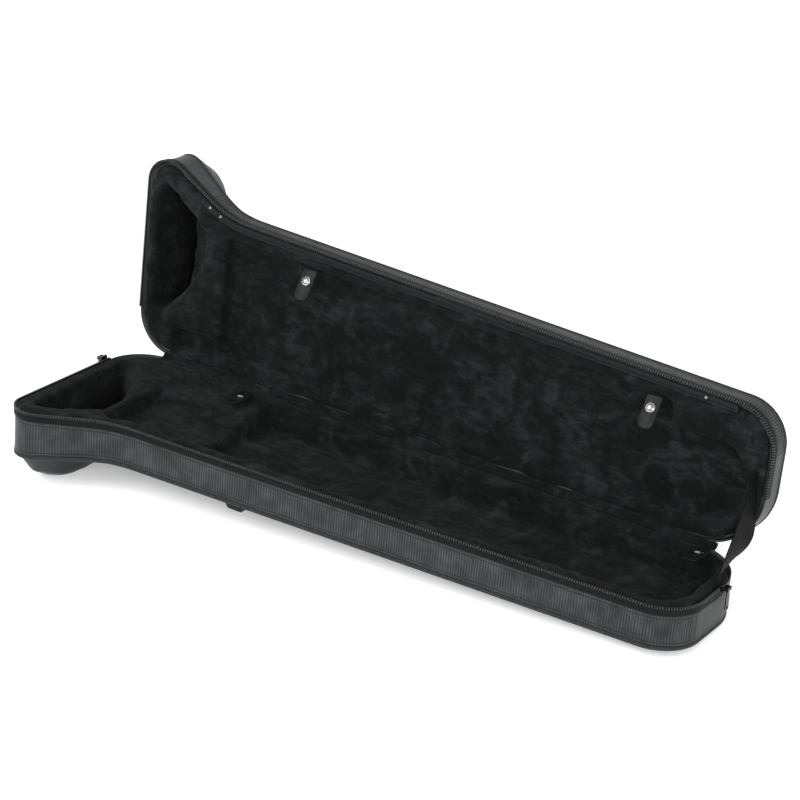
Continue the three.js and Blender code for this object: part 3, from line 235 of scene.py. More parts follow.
# %% Walk round the outline
BELL_END_WIDTH = 292.6 * MM
NECK_WIDTH = 215.7 * MM
NARROW_END_WIDTH = 183.3 * MM
NECK_X = 133 * MM
CORNERS = [
    ("bell_back", 0, 0, 56.6 * MM),
    ("bell_front", 0, -BELL_END_WIDTH, 32 * MM),
    ("neck", NECK_X, -NECK_WIDTH, 147 * MM),
    ("narrow_front", CASE_LENGTH, -NARROW_END_WIDTH, 54 * MM),
    ("narrow_back", CASE_LENGTH, 0, 78 * MM),
]
WALK_STEP = 4 * MM
FEWEST_ARC_STEPS = 4


class Outline:
    """Points round the case, their outward directions and their distance along the edge."""

    def __init__(self, step):
        count = len(CORNERS)
        places = [Vector((x, y)) for _, x, y, _ in CORNERS]
        points, outward, self.marks = [], [], {}
        arcs = []
        for i, (name, _, _, radius) in enumerate(CORNERS):
            along = (places[i] - places[i - 1]).normalized()
            away = (places[(i + 1) % count] - places[i]).normalized()
            turn = math.atan2(along.cross(away), along.dot(away))
            tangent = radius * math.tan(abs(turn) / 2)
            inward = Vector((-along.y, along.x)) * (1 if turn > 0 else -1)
            start, end = places[i] - along * tangent, places[i] + away * tangent
            arcs.append((name, start, inward, turn, radius, end))
        for i, (name, start, inward, turn, radius, end) in enumerate(arcs):
            centre = start + inward * radius
            steps = max(FEWEST_ARC_STEPS, round(abs(turn) * radius / step))
            first = len(points)
            for k in range(steps + 1):
                spoke = -inward.copy()
                spoke.rotate(Matrix.Rotation(turn * k / steps, 2))
                points.append(centre + spoke * radius)
                outward.append(spoke if turn > 0 else -spoke)
            self.marks[name] = (first, len(points) - 1)
            following = arcs[(i + 1) % count][1]
            run = following - end
            pieces = max(1, round(run.length / step))
            for k in range(1, pieces):
                points.append(end + run * (k / pieces))
                outward.append(outward[-1].copy())
        self.points = np.array([tuple(p) for p in points])
        self.outward = np.array([tuple(p) for p in outward])
        gaps = np.linalg.norm(np.diff(np.vstack([self.points, self.points[:1]]), axis=0), axis=1)
        self.along = np.concatenate([[0], np.cumsum(gaps)[:-1]])
        self.length = float(gaps.sum())

    def run(self, start, end):
        """Indices from one point to another, the way that the walk goes."""
        total = len(self.points)
        return [(start + k) % total for k in range((end - start) % total + 1)]


rim = Outline(WALK_STEP)
print("outline", len(rim.points), "points,", round(rim.length, 3), "m round")

# %% [markdown]
# ## Strips on the rim
#
# A strip is a small closed section, given as how far in from the edge and how deep from the rim,
# pushed along part of the outline. The base is 58 to 70 mm deep at its edge and the lid 34 to 60,
# so a depth can also be counted from the far face. A curve with a bevel would be another way, but
# it wouldn't follow two edges that drift apart.

# %% Depth and strips
BASE_SIDE, LID_SIDE = -1, 1
EDGE_DEPTHS = {
    BASE_SIDE: (69.7 * MM, 59.8 * MM, 58.4 * MM),
    LID_SIDE: (60.3 * MM, 34.1 * MM, 41.4 * MM),
}
HALF_NAMES = {BASE_SIDE: "base", LID_SIDE: "lid"}
HALF_MATRICES = {BASE_SIDE: TO_ROW, LID_SIDE: LID_TO_ROW}


def edge_depth(side, x):
    """From the rim to the far face, which slopes from the bell end to the neck and then on."""
    at_bell, at_neck, at_end = EDGE_DEPTHS[side]
    return np.where(
        x < NECK_X,
        at_bell + (at_neck - at_bell) * x / NECK_X,
        at_neck + (at_end - at_neck) * (x - NECK_X) / (CASE_LENGTH - NECK_X),
    )


def rim_place(side, index, inset, depth=None, from_face=None):
    """Places on the outline at one inset. Depth counts from the rim, from_face from the far face."""
    flat = rim.points[index] - rim.outward[index] * inset
    deep = edge_depth(side, flat[:, 0]) - from_face if depth is None else np.full(len(index), depth)
    return np.column_stack([flat, side * deep])


def rim_strip(name, side, section, index=None):
    """Section points are (inset, depth, from_face): one of the last two is None."""
    closed = index is None
    index = list(range(len(rim.points))) if closed else index
    rings = np.stack([rim_place(side, index, *corner) for corner in section], axis=1)
    steps = np.linalg.norm(np.diff(rings[0], axis=0, append=rings[0][:1]), axis=1)
    weave = np.zeros(rings.shape)
    weave[:, :, 0] = np.unwrap(rim.along[index], period=rim.length)[:, None]
    weave[:, :, 1] = np.concatenate([[0], np.cumsum(steps)[:-1]])[None, :]
    return skin(name, rings, HALF_MATRICES[side], weave, closed)


def from_rim(corners):
    """A section whose (inset, depth) corners all count from the rim."""
    return [(inset, depth, None) for inset, depth in corners]


print("strip helper ready")

# %% [markdown]
# ## Small tools for materials
#
# A material here is a short chain: a pattern gives a height, the height bumps the surface and
# also shifts the colour a little. Raised threads are painted lighter, partly for wear and partly as
# painted highlight for the light that they catch. The nodes could be joined by hand in the shader
# editor. A few helpers keep each chain short.

# %% Nodes and how they are joined
SHEEN_ROUGHNESS = 0.45


def new_material(name, roughness, sheen=0.0, specular=0.5):
    material = bpy.data.materials.new(name)
    material.use_nodes = True
    shader = material.node_tree.nodes["Principled BSDF"]
    shader.inputs["Roughness"].default_value = roughness
    shader.inputs["Sheen Weight"].default_value = sheen
    shader.inputs["Sheen Roughness"].default_value = SHEEN_ROUGHNESS
    shader.inputs["Specular IOR Level"].default_value = specular
    return material, shader


def node(material, kind, **settings):
    made = material.node_tree.nodes.new(kind)
    for key, value in settings.items():
        setattr(made, key, value)
    return made


def join(material, output, socket):
    material.node_tree.links.new(output, socket)


def math_node(material, operation, first, second=None):
    """Each value is a number or another node's output."""
    made = node(material, "ShaderNodeMath", operation=operation)
    for socket, value in zip(made.inputs, (first, second)):
        if value is None:
            continue
        if isinstance(value, (int, float)):
            socket.default_value = value
        else:
            join(material, value, socket)
    return made.outputs[0]


def blend_sum(material, *terms):
    """Adds values, each scaled by its share."""
    total = None
    for value, share in terms:
        scaled = math_node(material, "MULTIPLY", value, share)
        total = scaled if total is None else math_node(material, "ADD", total, scaled)
    return total


print("node helpers ready")

# %% [markdown]
# ## Unevenness, dye and relief
#
# No cloth or metal has one flat colour. Noise gives each finish a slow drift between a darker and
# a lighter tone. One shared tone scales all the dyes, so that the whole case can be matched to
# the photograph at once.

# %% Noise, colours and bumps
DYE_TONE = 0.76


def object_place(material):
    return node(material, "ShaderNodeTexCoord").outputs["Object"]


def noise_value(material, scale, detail=3, place=None, distortion=0.0):
    made = node(material, "ShaderNodeTexNoise")
    made.inputs["Scale"].default_value = scale
    made.inputs["Detail"].default_value = detail
    made.inputs["Distortion"].default_value = distortion
    join(material, place or object_place(material), made.inputs["Vector"])
    return made.outputs["Fac"]


def ramp(material, value, stops, tone=DYE_TONE):
    """Colours at places from 0 to 1. Each stop is (place, grey or colour)."""
    made = node(material, "ShaderNodeValToRGB")
    points = made.color_ramp.elements
    while len(points) < len(stops):
        points.new(0.5)
    for point, (place, colour) in zip(points, stops):
        point.position = place
        channels = colour if isinstance(colour, tuple) else (colour, colour, colour)
        point.color = (*(channel * tone for channel in channels), 1)
    join(material, value, made.inputs["Fac"])
    return made.outputs["Color"]


def two_tones(dark, light):
    """Stops for noise, whose values hardly leave the stretch from 0.3 to 0.7."""
    return [(0.3, dark), (0.7, light)]


def dye(material, shader, value, stops, tone=DYE_TONE):
    join(material, ramp(material, value, stops, tone), shader.inputs["Base Color"])


def bump(material, shader, height, depth, strength):
    made = node(material, "ShaderNodeBump")
    made.inputs["Distance"].default_value = depth
    made.inputs["Strength"].default_value = strength
    join(material, height, made.inputs["Height"])
    join(material, made.outputs["Normal"], shader.inputs["Normal"])


print("finish helpers ready, dye tone", DYE_TONE)

# %% [markdown]
# ## Reading the weave
#
# Threads run along a cloth, whichever way the cloth is turned. So a weave is drawn from the places
# stored on each strip and not from X, Y and Z: a sine wave for each row of threads, and a narrow
# dip where a seam pulls the cloth down.

# %% Waves and grooves on a cloth
def weave_parts(material):
    """Where a point lies: along its cloth, down from its top edge, and up from its lower edge."""
    place = node(material, "ShaderNodeAttribute", attribute_name="weave").outputs["Vector"]
    split = node(material, "ShaderNodeSeparateXYZ")
    join(material, place, split.inputs["Vector"])
    return split.outputs["X"], split.outputs["Y"], split.outputs["Z"]


def wave(material, place, pitch):
    return math_node(material, "SINE", math_node(material, "MULTIPLY", place, 2 * math.pi / pitch))


def groove(material, place, middle, half_width):
    """One far from a line, nought on it."""
    away = math_node(material, "ABSOLUTE", math_node(material, "SUBTRACT", place, middle))
    return math_node(material, "MINIMUM", math_node(material, "DIVIDE", away, half_width), 1.0)


print("weave helpers ready")

# %% [markdown]
# ## Ribbed nylon
#
# The front band is a heavy nylon with upright ribs and a weak cross line. It was sewn through
# along two rows, and the cloth sinks there. The colour is darkened in those grooves as painted
# shade. A picture of cloth could be laid on it, but waves made from the stored weave places stay
# sharp and turn with the cloth at every corner.

# %% Ribbed nylon
RIB_PITCH = 3.6 * MM
RIB_CROSS_PITCH = 3.1 * MM
RIB_UNEVENNESS = 0.6 * MM
SEAM_FROM_TOP = 16.8 * MM
SEAM_FROM_LOW = 10.5 * MM
SEAM_HALF_WIDTH = 0.9 * MM
# How light the cloth is painted at the bottom of a seam, as painted shade.
SEAM_SHADE = 0.28


def ribbed_nylon():
    material, shader = new_material("ribbed_nylon", 0.5, sheen=0.03, specular=0.24)
    along, down, up = weave_parts(material)
    uneven = noise_value(material, scale=90, detail=2)
    shifted = blend_sum(material, (along, 1.0), (uneven, RIB_UNEVENNESS))
    rib = wave(material, shifted, RIB_PITCH)
    cross = wave(material, down, RIB_CROSS_PITCH)
    streaks = node(material, "ShaderNodeTexNoise", noise_dimensions="1D")
    streaks.inputs["Scale"].default_value = 140
    streaks.inputs["Detail"].default_value = 3
    join(material, along, streaks.inputs["W"])
    top_seam = groove(material, down, SEAM_FROM_TOP, SEAM_HALF_WIDTH)
    low_seam = groove(material, up, SEAM_FROM_LOW, SEAM_HALF_WIDTH)
    seams = math_node(material, "MULTIPLY", top_seam, low_seam)
    height = blend_sum(material, (rib, 0.5), (cross, 0.14))
    clouds = noise_value(material, scale=45)
    # Rib tops are painted lighter, partly as wear and partly as painted highlight.
    value = blend_sum(material, (height, 0.34), (streaks.outputs["Fac"], 0.1), (clouds, 0.66))
    value = math_node(material, "ADD", value, 0.06)
    # Painted shade: the colour darkens along both seam grooves, where the cloth sinks.
    shade = math_node(material, "ADD", blend_sum(material, (seams, 1 - SEAM_SHADE)), SEAM_SHADE)
    stops = [
        (0.16, (0.004, 0.0045, 0.0048)),
        (0.44, (0.018, 0.020, 0.021)),
        (0.70, (0.060, 0.066, 0.069)),
    ]
    dye(material, shader, math_node(material, "MULTIPLY", value, shade), stops)
    relief = blend_sum(material, (height, 0.5), (seams, 1.0))
    bump(material, shader, relief, depth=0.6 * MM, strength=0.7)
    return material


RIBBED = ribbed_nylon()
print("cloth", RIBBED.name)

# %% [markdown]
# ## Smooth nylon, twill and webbing
#
# The rest of the outside is a smoother nylon whose weave is too fine to draw, so it is only
# cloudy. Piping, zip tape, straps of webbing and the stay all have slanted or crossed ribs. They
# differ in tone and in how coarse they are, so one function makes them all.

# %% Smooth nylon, twill and webbing
def smooth_nylon():
    material, shader = new_material("smooth_nylon", 0.46, sheen=0.03, specular=0.26)
    fine = noise_value(material, scale=1100, detail=2)
    broad = noise_value(material, scale=24, detail=5)
    value = blend_sum(material, (fine, 0.4), (broad, 0.6))
    stops = [
        (0.36, (0.015, 0.017, 0.018)),
        (0.52, (0.025, 0.0275, 0.029)),
        (0.66, (0.042, 0.046, 0.048)),
    ]
    dye(material, shader, value, stops)
    bump(material, shader, value, depth=1.2 * MM, strength=0.5)
    return material


def twill_cloth(name, dark, light, pitch, depth=0.3 * MM, specular=0.14):
    """Cloth with slanted ribs, as on a bias-cut strip or a woven tape."""
    material, shader = new_material(name, 0.55, sheen=0.01, specular=specular)
    along, down, _ = weave_parts(material)
    height = wave(material, math_node(material, "ADD", along, down), pitch)
    # Rib tops are painted lighter, partly as wear and partly as painted highlight.
    value = blend_sum(material, (height, 0.32), (noise_value(material, scale=130), 0.55))
    value = math_node(material, "ADD", value, 0.22)
    dye(material, shader, value, [(0.1, dark), (0.9, light)])
    bump(material, shader, height, depth, strength=0.8)
    return material


NYLON = smooth_nylon()
PIPING_CLOTH = twill_cloth(
    "piping_twill", (0.003, 0.0033, 0.0036), (0.060, 0.066, 0.069), 3.6 * MM, depth=0.6 * MM
)
TAPE_CLOTH = twill_cloth(
    "zip_tape_twill", (0.0008, 0.0009, 0.001), (0.012, 0.0132, 0.0138), 3.3 * MM, specular=0.08
)
WEBBING = twill_cloth("black_webbing", (0.004, 0.0045, 0.005), (0.020, 0.022, 0.023), 2.4 * MM)
GUARD_CLOTH = twill_cloth("zip_guard_cloth", (0.005, 0.005, 0.006), (0.022, 0.023, 0.025), 1.5 * MM)
# The hem's cloth is painted lighter than the guard's, as painted highlight on its rolled edge.
HEM_HIGHLIGHT_CLOTH = twill_cloth("folded_hem_painted_highlight", (0.012, 0.0132, 0.0138), (0.050, 0.054, 0.056), 1.5 * MM)
STAY_CLOTH = twill_cloth(
    "stay_cloth", (0.0015, 0.0017, 0.0018), (0.006, 0.0065, 0.0068), 1.6 * MM, specular=0.05
)
print("cloths", NYLON.name, PIPING_CLOTH.name, TAPE_CLOTH.name, WEBBING.name, STAY_CLOTH.name)

# %% [markdown]
# ## Crushed plush
#
# Plush is nearly black, but its pile lies in patches that look grey where they face the light.
# Real hairs would be slow and are too short to see from here. Broad patches, longer strokes and a
# fine pile are three sizes of noise, whose lighter patches are painted sheen, and a narrow dark
# groove of painted shade runs where two patches meet.

# %% Crushed plush
def stretched_place(material, scale):
    """The object's own coordinates, stretched: a small scale gives long marks that way."""
    made = node(material, "ShaderNodeMapping")
    made.inputs["Scale"].default_value = scale
    join(material, object_place(material), made.inputs["Vector"])
    return made.outputs["Vector"]


def crushed_plush():
    """Patches of pile whose lighter tones are painted sheen, with lines of painted shade where they
    meet.
    """
    material, shader = new_material("crushed_plush", 1.0, sheen=0.02, specular=0.1)
    long_marks = stretched_place(material, (38, 80, 80))
    patches = noise_value(material, scale=25, detail=10, distortion=1.0)
    strokes = noise_value(material, scale=1.0, detail=8, place=long_marks, distortion=1.2)
    meeting = noise_value(material, scale=1.3, detail=5, place=long_marks, distortion=2.2)
    pile = noise_value(material, scale=420)
    # Painted shade: the colour darkens along the lines where patches meet, which also dip the bump.
    pressed = groove(material, meeting, 0.5, 0.035)
    value = blend_sum(material, (patches, 0.48), (strokes, 0.36), (pile, 0.12), (pressed, 0.04))
    stops = [
        (0.45, (0.0046, 0.0050, 0.0053)),
        (0.50, (0.0064, 0.0070, 0.0073)),
        (0.555, (0.0105, 0.0115, 0.0120)),
        (0.63, (0.0195, 0.0213, 0.0220)),
    ]
    dye(material, shader, value, stops)
    height = blend_sum(material, (strokes, 0.5), (pile, 0.3), (pressed, 0.3))
    bump(material, shader, height, depth=4 * MM, strength=0.5)
    return material


PLUSH = crushed_plush()
print("plush", PLUSH.name)

# %% [markdown]
# ## Leather, nickel, zip nylon, rubber and thread
#
# The straps are black leather with a fine grain, which the edges between small random cells
# draw well. The snaps are nickel-plated, with faint scratches that also change how sharply they
# shine, and the sliders have a darker plate. Zip teeth and thread only drift between two greys.
# The teeth's grey is kept lighter than the tape as painted highlight for the glossy coil.

# %% Leather, metal, zip nylon, rubber and thread
def strap_leather():
    material, shader = new_material("strap_leather", 0.36, specular=0.13)
    grain = node(material, "ShaderNodeTexVoronoi", feature="DISTANCE_TO_EDGE")
    grain.inputs["Scale"].default_value = 900
    join(material, object_place(material), grain.inputs["Vector"])
    wear = noise_value(material, scale=130, detail=5)
    dye(material, shader, wear, two_tones((0.006, 0.0063, 0.0066), (0.016, 0.0166, 0.017)))
    bump(material, shader, grain.outputs["Distance"], depth=0.3 * MM, strength=0.6)
    return material


SCRATCH_SHADE = 0.75


def plated_metal(name, grey):
    material, shader = new_material(name, 0.2)
    shader.inputs["Metallic"].default_value = 1.0
    dye(material, shader, noise_value(material, scale=500), two_tones(grey * SCRATCH_SHADE, grey))
    rough = ramp(material, noise_value(material, scale=90), two_tones(0.14, 0.34), tone=1.0)
    join(material, rough, shader.inputs["Roughness"])
    return material


def drifting_grey(name, roughness, scale, dark, light, specular=0.25):
    """A plain finish, such as moulded nylon or thread, that is a little uneven."""
    material, shader = new_material(name, roughness, specular=specular)
    dye(material, shader, noise_value(material, scale, detail=2), two_tones(dark, light))
    return material


def grip_rubber():
    material, shader = new_material("grip_rubber", 0.7, specular=0.25)
    dye(material, shader, noise_value(material, scale=40, detail=4), two_tones(0.012, 0.026))
    bump(material, shader, noise_value(material, scale=1500, detail=2), depth=0.2 * MM, strength=0.6)
    return material


LEATHER = strap_leather()
NICKEL = plated_metal("nickel_plate", 0.38)
DARK_NICKEL = plated_metal("black_nickel_plate", 0.07)
# The coil's grey is lighter than the tape's, as painted highlight for the glossy teeth.
COIL = drifting_grey("zip_coil_nylon", 0.32, scale=300, dark=0.03, light=0.075)
THREAD = drifting_grey("sewing_thread", 0.55, scale=200, dark=0.035, light=0.075, specular=0.3)
RUBBER = grip_rubber()
print("finishes", LEATHER.name, NICKEL.name, COIL.name, RUBBER.name, THREAD.name)

# %% [markdown]
# ## Dressing a piece
#
# Every piece that is made below gets its finish, the body that it rides on, and the CAD nodes
# that it takes the place of. Doing all three in one call means that none is forgotten.

# %% Finish a piece
def finish_piece(piece, material, body, replaced=()):
    piece.data.materials.clear()
    piece.data.materials.append(material)
    if body:
        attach(piece, body)
    if replaced:
        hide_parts(*replaced)


print("ready to dress", len(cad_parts), "nodes")

# %% [markdown]
# ## Plush over foam
#
# The plush is glued into the trays of a foam block, so it has soft edges and no hard corners. A
# voxel remesh of the foam and its lining together gives exactly that: one skin of small even
# faces, which is then smoothed. A cloth simulation would move it no more than this, because the
# plush is glued down.

# %% A soft skin over the frame's solids
PLUSH_VOXEL = 2.6 * MM
COVER_VOXEL = 3.4 * MM
PLUSH_SOFTNESS = {BASE_SIDE: 18 * MM, LID_SIDE: 20 * MM}
COVER_SOFTNESS = 7 * MM
SMOOTHING_FACTOR = 0.5


def remeshed(name, nodes, voxel, softness):
    """One smooth skin over the nodes. Softness is how far an edge's rounding reaches."""
    made = bmesh.new()
    for each in nodes:
        made.from_mesh(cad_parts[each].data)
    mesh = bpy.data.meshes.new(name)
    made.to_mesh(mesh)
    made.free()
    piece = bpy.data.objects.new(name, mesh)
    bpy.context.scene.collection.objects.link(piece)
    remesh = piece.modifiers.new("remesh", "REMESH")
    remesh.mode = "VOXEL"
    remesh.voxel_size = voxel
    soften = piece.modifiers.new("soften", "SMOOTH")
    soften.factor = SMOOTHING_FACTOR
    soften.iterations = round((softness / voxel) ** 2)
    bpy.context.view_layer.update()
    evaluated = piece.evaluated_get(bpy.context.evaluated_depsgraph_get())
    shaped = bpy.data.meshes.new_from_object(evaluated)
    piece.modifiers.clear()
    piece.data = shaped
    shaped.polygons.foreach_set("use_smooth", [True] * len(shaped.polygons))
    return piece


def mesh_points(mesh):
    places = np.zeros(len(mesh.vertices) * 3, np.float32)
    mesh.vertices.foreach_get("co", places)
    return places.reshape(-1, 3).astype(float)


def move_along_normals(piece, heights):
    mesh = piece.data
    normals = np.zeros(len(mesh.vertices) * 3, np.float32)
    mesh.vertices.foreach_get("normal", normals)
    moved = mesh_points(mesh) + normals.reshape(-1, 3) * heights[:, None]
    mesh.vertices.foreach_set("co", moved.astype(np.float32).ravel())
    mesh.update()


print("voxels", PLUSH_VOXEL, "for plush and", COVER_VOXEL, "for covers")

# %% [markdown]
# ## Stuffed by hand
#
# A lining never lies quite even: it swells over the foam, is pressed into creases and has small
# tufts. Each is a noise that moves the skin along its own normals, which is quicker to steer than
# sculpting and comes out the same each time. It stays calm on the ledge where the zip guard lies.
# Smoothing thins the walls of the deep wells, so the plush is puffed up again there.

# %% Linings for both halves
RIM_LEDGE = 14 * MM
LEAST_SWELL = 0.12
WELL_START = 14 * MM
WELL_PUFF = 3.2 * MM
POINTS_AT_ONCE = 20000
# The size, height and seed of each kind of unevenness.
BROAD_SWELLS = (42 * MM, 2.2 * MM, 1.0)
SMALL_SWELLS = (17 * MM, 1.1 * MM, 2.0)
TUFTS = (6.5 * MM, 0.5 * MM, 3.0)
TUFTS_ON_LEDGE = 0.4
PRESSED_CREASES = (24 * MM, 1.4 * MM, 4.0)


def in_half(points, side):
    """Row places turned back into the level frame of one half."""
    back = np.array(HALF_MATRICES[side].inverted())
    return points @ back[:3, :3].T + back[:3, 3]


def edge_inset(flat):
    """How far in from the outline each point is, to every other step of the walk."""
    nearest = np.full(len(flat), np.inf)
    for start in range(0, len(flat), POINTS_AT_ONCE):
        part = flat[start : start + POINTS_AT_ONCE]
        gaps = part[:, None, :] - rim.points[None, ::2, :]
        nearest[start : start + POINTS_AT_ONCE] = np.sqrt((gaps**2).sum(axis=2).min(axis=1))
    return nearest


def creases(points, size, height, seed):
    """Sharp valleys between soft swellings, as where a pile has been pressed together."""
    return height * (0.5 - 2 * np.abs(wrinkle(points, size, 1.0, seed)))


def stuff_by_hand(piece, side):
    places = mesh_points(piece.data)
    local = in_half(places, side)
    calm = np.clip(edge_inset(local[:, :2]) / RIM_LEDGE, LEAST_SWELL, 1.0)
    puff = WELL_PUFF * np.clip(side * local[:, 2] / WELL_START - 1, 0, 1)
    swells = wrinkle(places, *BROAD_SWELLS) + wrinkle(places, *SMALL_SWELLS)
    soft = swells + creases(places, *PRESSED_CREASES)
    tuft_share = TUFTS_ON_LEDGE + (1 - TUFTS_ON_LEDGE) * calm
    move_along_normals(piece, puff + calm * soft + wrinkle(places, *TUFTS) * tuft_share)


LINED_NODES = {
    BASE_SIDE: ["base_plush_lining", "base_foam_insert", "base_throat_block"],
    LID_SIDE: ["lid_plush_lining", "lid_foam_insert"],
}
for side, half in HALF_NAMES.items():
    lining = remeshed(f"{half}_plush", LINED_NODES[side], PLUSH_VOXEL, PLUSH_SOFTNESS[side])
    stuff_by_hand(lining, side)
    finish_piece(lining, PLUSH, half, LINED_NODES[side])
    print(lining.name, len(lining.data.polygons), "faces")

# %% [markdown]
# ## Covered shells
#
# Outside, each half is a stiff shell with nylon drawn over it. The large face with its bulge is
# made from the shell and its panel together, so that the cloth runs smoothly over the bulge. Two
# separate pieces would show a crack where the real cloth has none.

# %% Shells with their face panels
DRAPE = (70 * MM, 0.9 * MM, 5.0)
COVER_CREASES = (34 * MM, 0.5 * MM, 6.0)

for side, half in HALF_NAMES.items():
    solids = [f"{half}_shell", f"{half}_face_panel"]
    cover = remeshed(f"{half}_cover", solids, COVER_VOXEL, COVER_SOFTNESS)
    places = mesh_points(cover.data)
    move_along_normals(cover, wrinkle(places, *DRAPE) + creases(places, *COVER_CREASES))
    finish_piece(cover, NYLON, half, solids)
    print(cover.name, len(cover.data.polygons), "faces")

# %% [markdown]
# ## Bands round the sides
#
# The sides are covered by bands of cloth, sewn down along both edges and a little loose between
# them. The ribbed one goes along the front and the smooth one round the ends and the back. A band
# is a grid over the outline and not a copy of its solid, because only a grid can carry the weave
# places and the slight belly of loose cloth.

# %% Bands round the sides
BAND_THICKNESS = 1.6 * MM
BAND_TOP = 2.9 * MM
BAND_FROM_FACE = 6.3 * MM
BAND_STEPS = 14
BAND_WAVE_SIZE = 55 * MM
BAND_WAVE_HEIGHT = 1.1 * MM
RIBBED_CORNER_SHARE = 5 / 6


def band_push(side, places):
    """How far the cloth of a band stands off its shell. It is sewn down along both edges."""
    low = edge_depth(side, places[:, 0]) - BAND_FROM_FACE
    share = (side * places[:, 2] - BAND_TOP) / (low - BAND_TOP)
    belly = np.sin(np.pi * np.clip(share, 0, 1))
    return wrinkle(places, BAND_WAVE_SIZE, BAND_WAVE_HEIGHT, side) * belly


def band(name, side, index):
    """One band of cloth, with its weave stored before the cloth is pushed out of true."""
    shares = np.linspace(0, 1, BAND_STEPS)
    section = [(0.0, share) for share in shares] + [(BAND_THICKNESS, 1.0), (BAND_THICKNESS, 0.0)]
    lines = []
    for inset, share in section:
        top = rim_place(side, index, inset, depth=BAND_TOP)
        low = rim_place(side, index, inset, from_face=BAND_FROM_FACE)
        lines.append(top * (1 - share) + low * share)
    rings = np.stack(lines, axis=1)
    weave = np.zeros(rings.shape)
    weave[:, :, 0] = np.unwrap(rim.along[index], period=rim.length)[:, None]
    weave[:, :, 1] = side * rings[:, :, 2]
    weave[:, :, 2] = edge_depth(side, rings[:, :, 0]) - side * rings[:, :, 2]
    outward = np.column_stack([rim.outward[index], np.zeros(len(index))])
    for j in range(BAND_STEPS):
        rings[:, j] += outward * band_push(side, rings[:, j])[:, None]
    return skin(name, rings, HALF_MATRICES[side], weave)


corner_start, corner_end = rim.marks["narrow_front"]
ribbed_base_end = corner_start + round((corner_end - corner_start) * RIBBED_CORNER_SHARE)
RIBBED_RUNS = {
    BASE_SIDE: (rim.marks["bell_front"][0], ribbed_base_end),
    LID_SIDE: (rim.marks["neck"][0], rim.marks["narrow_front"][1]),
}
for side, half in HALF_NAMES.items():
    start, end = RIBBED_RUNS[side]
    ribbed = band(f"{half}_ribbed_cloth", side, rim.run(start, end))
    finish_piece(ribbed, RIBBED, half, [f"{half}_ribbed_band"])
    plain = band(f"{half}_plain_cloth", side, rim.run(end, start))
    finish_piece(plain, NYLON, half, [f"{half}_plain_band"])
print("bands made")

# %% [markdown]
# ## Sewing
#
# A lockstitch shows as a row of short dashes that sink a little into the cloth. One row holds the
# zip tape and the folded edge, and one runs beside the piping. A bumped line would do from afar,
# but small raised blocks catch the light as thread does.

# %% Rows of stitches
STITCH_PITCH = 3.0 * MM
STITCH_SIZES = (2.1 * MM, 0.5 * MM, 0.6 * MM)
STITCH_ROW_DEPTH = 14.6 * MM
STITCH_ROW_FROM_FACE = 8.6 * MM
BLOCK_SIDES = [(0, 1, 3, 2), (4, 6, 7, 5), (0, 4, 5, 1), (2, 3, 7, 6), (0, 2, 6, 4), (1, 5, 7, 3)]


def seam_places(side, index, inset, pitch, depth=None, from_face=None):
    """Evenly spaced places along the edge of one half, and the outward direction at each."""
    flat = rim.points[index] - rim.outward[index] * inset
    steps = np.concatenate([[0], np.cumsum(np.linalg.norm(np.diff(flat, axis=0), axis=1))])
    distance = (np.arange(int(steps[-1] / pitch)) + 0.5) * pitch
    middle = np.column_stack([np.interp(distance, steps, flat[:, k]) for k in (0, 1)])
    outward = np.column_stack([np.interp(distance, steps, rim.outward[index][:, k]) for k in (0, 1)])
    if depth is None:
        deep = edge_depth(side, middle[:, 0]) - from_face
    else:
        deep = np.full(len(middle), depth)
    level = np.zeros((len(middle), 1))
    return np.column_stack([middle, side * deep]), np.hstack([outward, level])


def small_blocks(name, side, places, outward, sizes, taper=1.0):
    """A copy of one small block at each place. Sizes are along, outward and deep."""
    signs = [(i, j, k) for i in (-1, 1) for j in (-1, 1) for k in (-1, 1)]
    corners = np.array(signs, float) * np.array(sizes) / 2
    corners[corners[:, 1] > 0, 0] *= taper
    along = np.column_stack([-outward[:, 1], outward[:, 0], outward[:, 2]])
    deep = np.array([0, 0, 1])
    points = places[:, None] + corners[:, :1] * along[:, None]
    points = points + corners[:, 1:2] * outward[:, None] + corners[:, 2:] * deep
    faces = [tuple(8 * k + v for v in face) for k in range(len(places)) for face in BLOCK_SIDES]
    return add_mesh(name, points.reshape(-1, 3), faces, HALF_MATRICES[side], smooth=False)


def stitch_row(name, side, index, depth=None, from_face=None):
    places, outward = seam_places(side, index, 0.0, STITCH_PITCH, depth, from_face)
    places = places + outward * band_push(side, places)[:, None]
    return small_blocks(name, side, places, outward, STITCH_SIZES)


all_round = list(range(len(rim.points))) + [0]
ZIP_RUN = rim.run(rim.marks["bell_back"][1], rim.marks["narrow_back"][0])
for side, half in HALF_NAMES.items():
    upper = stitch_row(f"{half}_zip_stitches", side, ZIP_RUN, depth=STITCH_ROW_DEPTH)
    lower = stitch_row(f"{half}_piping_stitches", side, all_round, from_face=STITCH_ROW_FROM_FACE)
    for row in (upper, lower):
        finish_piece(row, THREAD, half)
    stitch_faces = len(upper.data.polygons) + len(lower.data.polygons)
    print(half, "stitches", stitch_faces // len(BLOCK_SIDES))

# %% [markdown]
# ## Piping
#
# A cord wrapped in bias-cut cloth protects the outer edge. A curve with a round bevel would have
# its shape, but no weave places. As a round strip it has them, and so the twill of the bias cut
# runs round it at a slant.

# %% Piping round both faces
PIPING_RADIUS = 3 * MM
PIPING_INSET = 2 * MM
PIPING_SIDES = 14


def round_section(radius, inset, from_face, sides):
    return [
        (inset + radius * math.cos(turn), None, from_face + radius * math.sin(turn))
        for turn in circle_turns(sides)
    ]


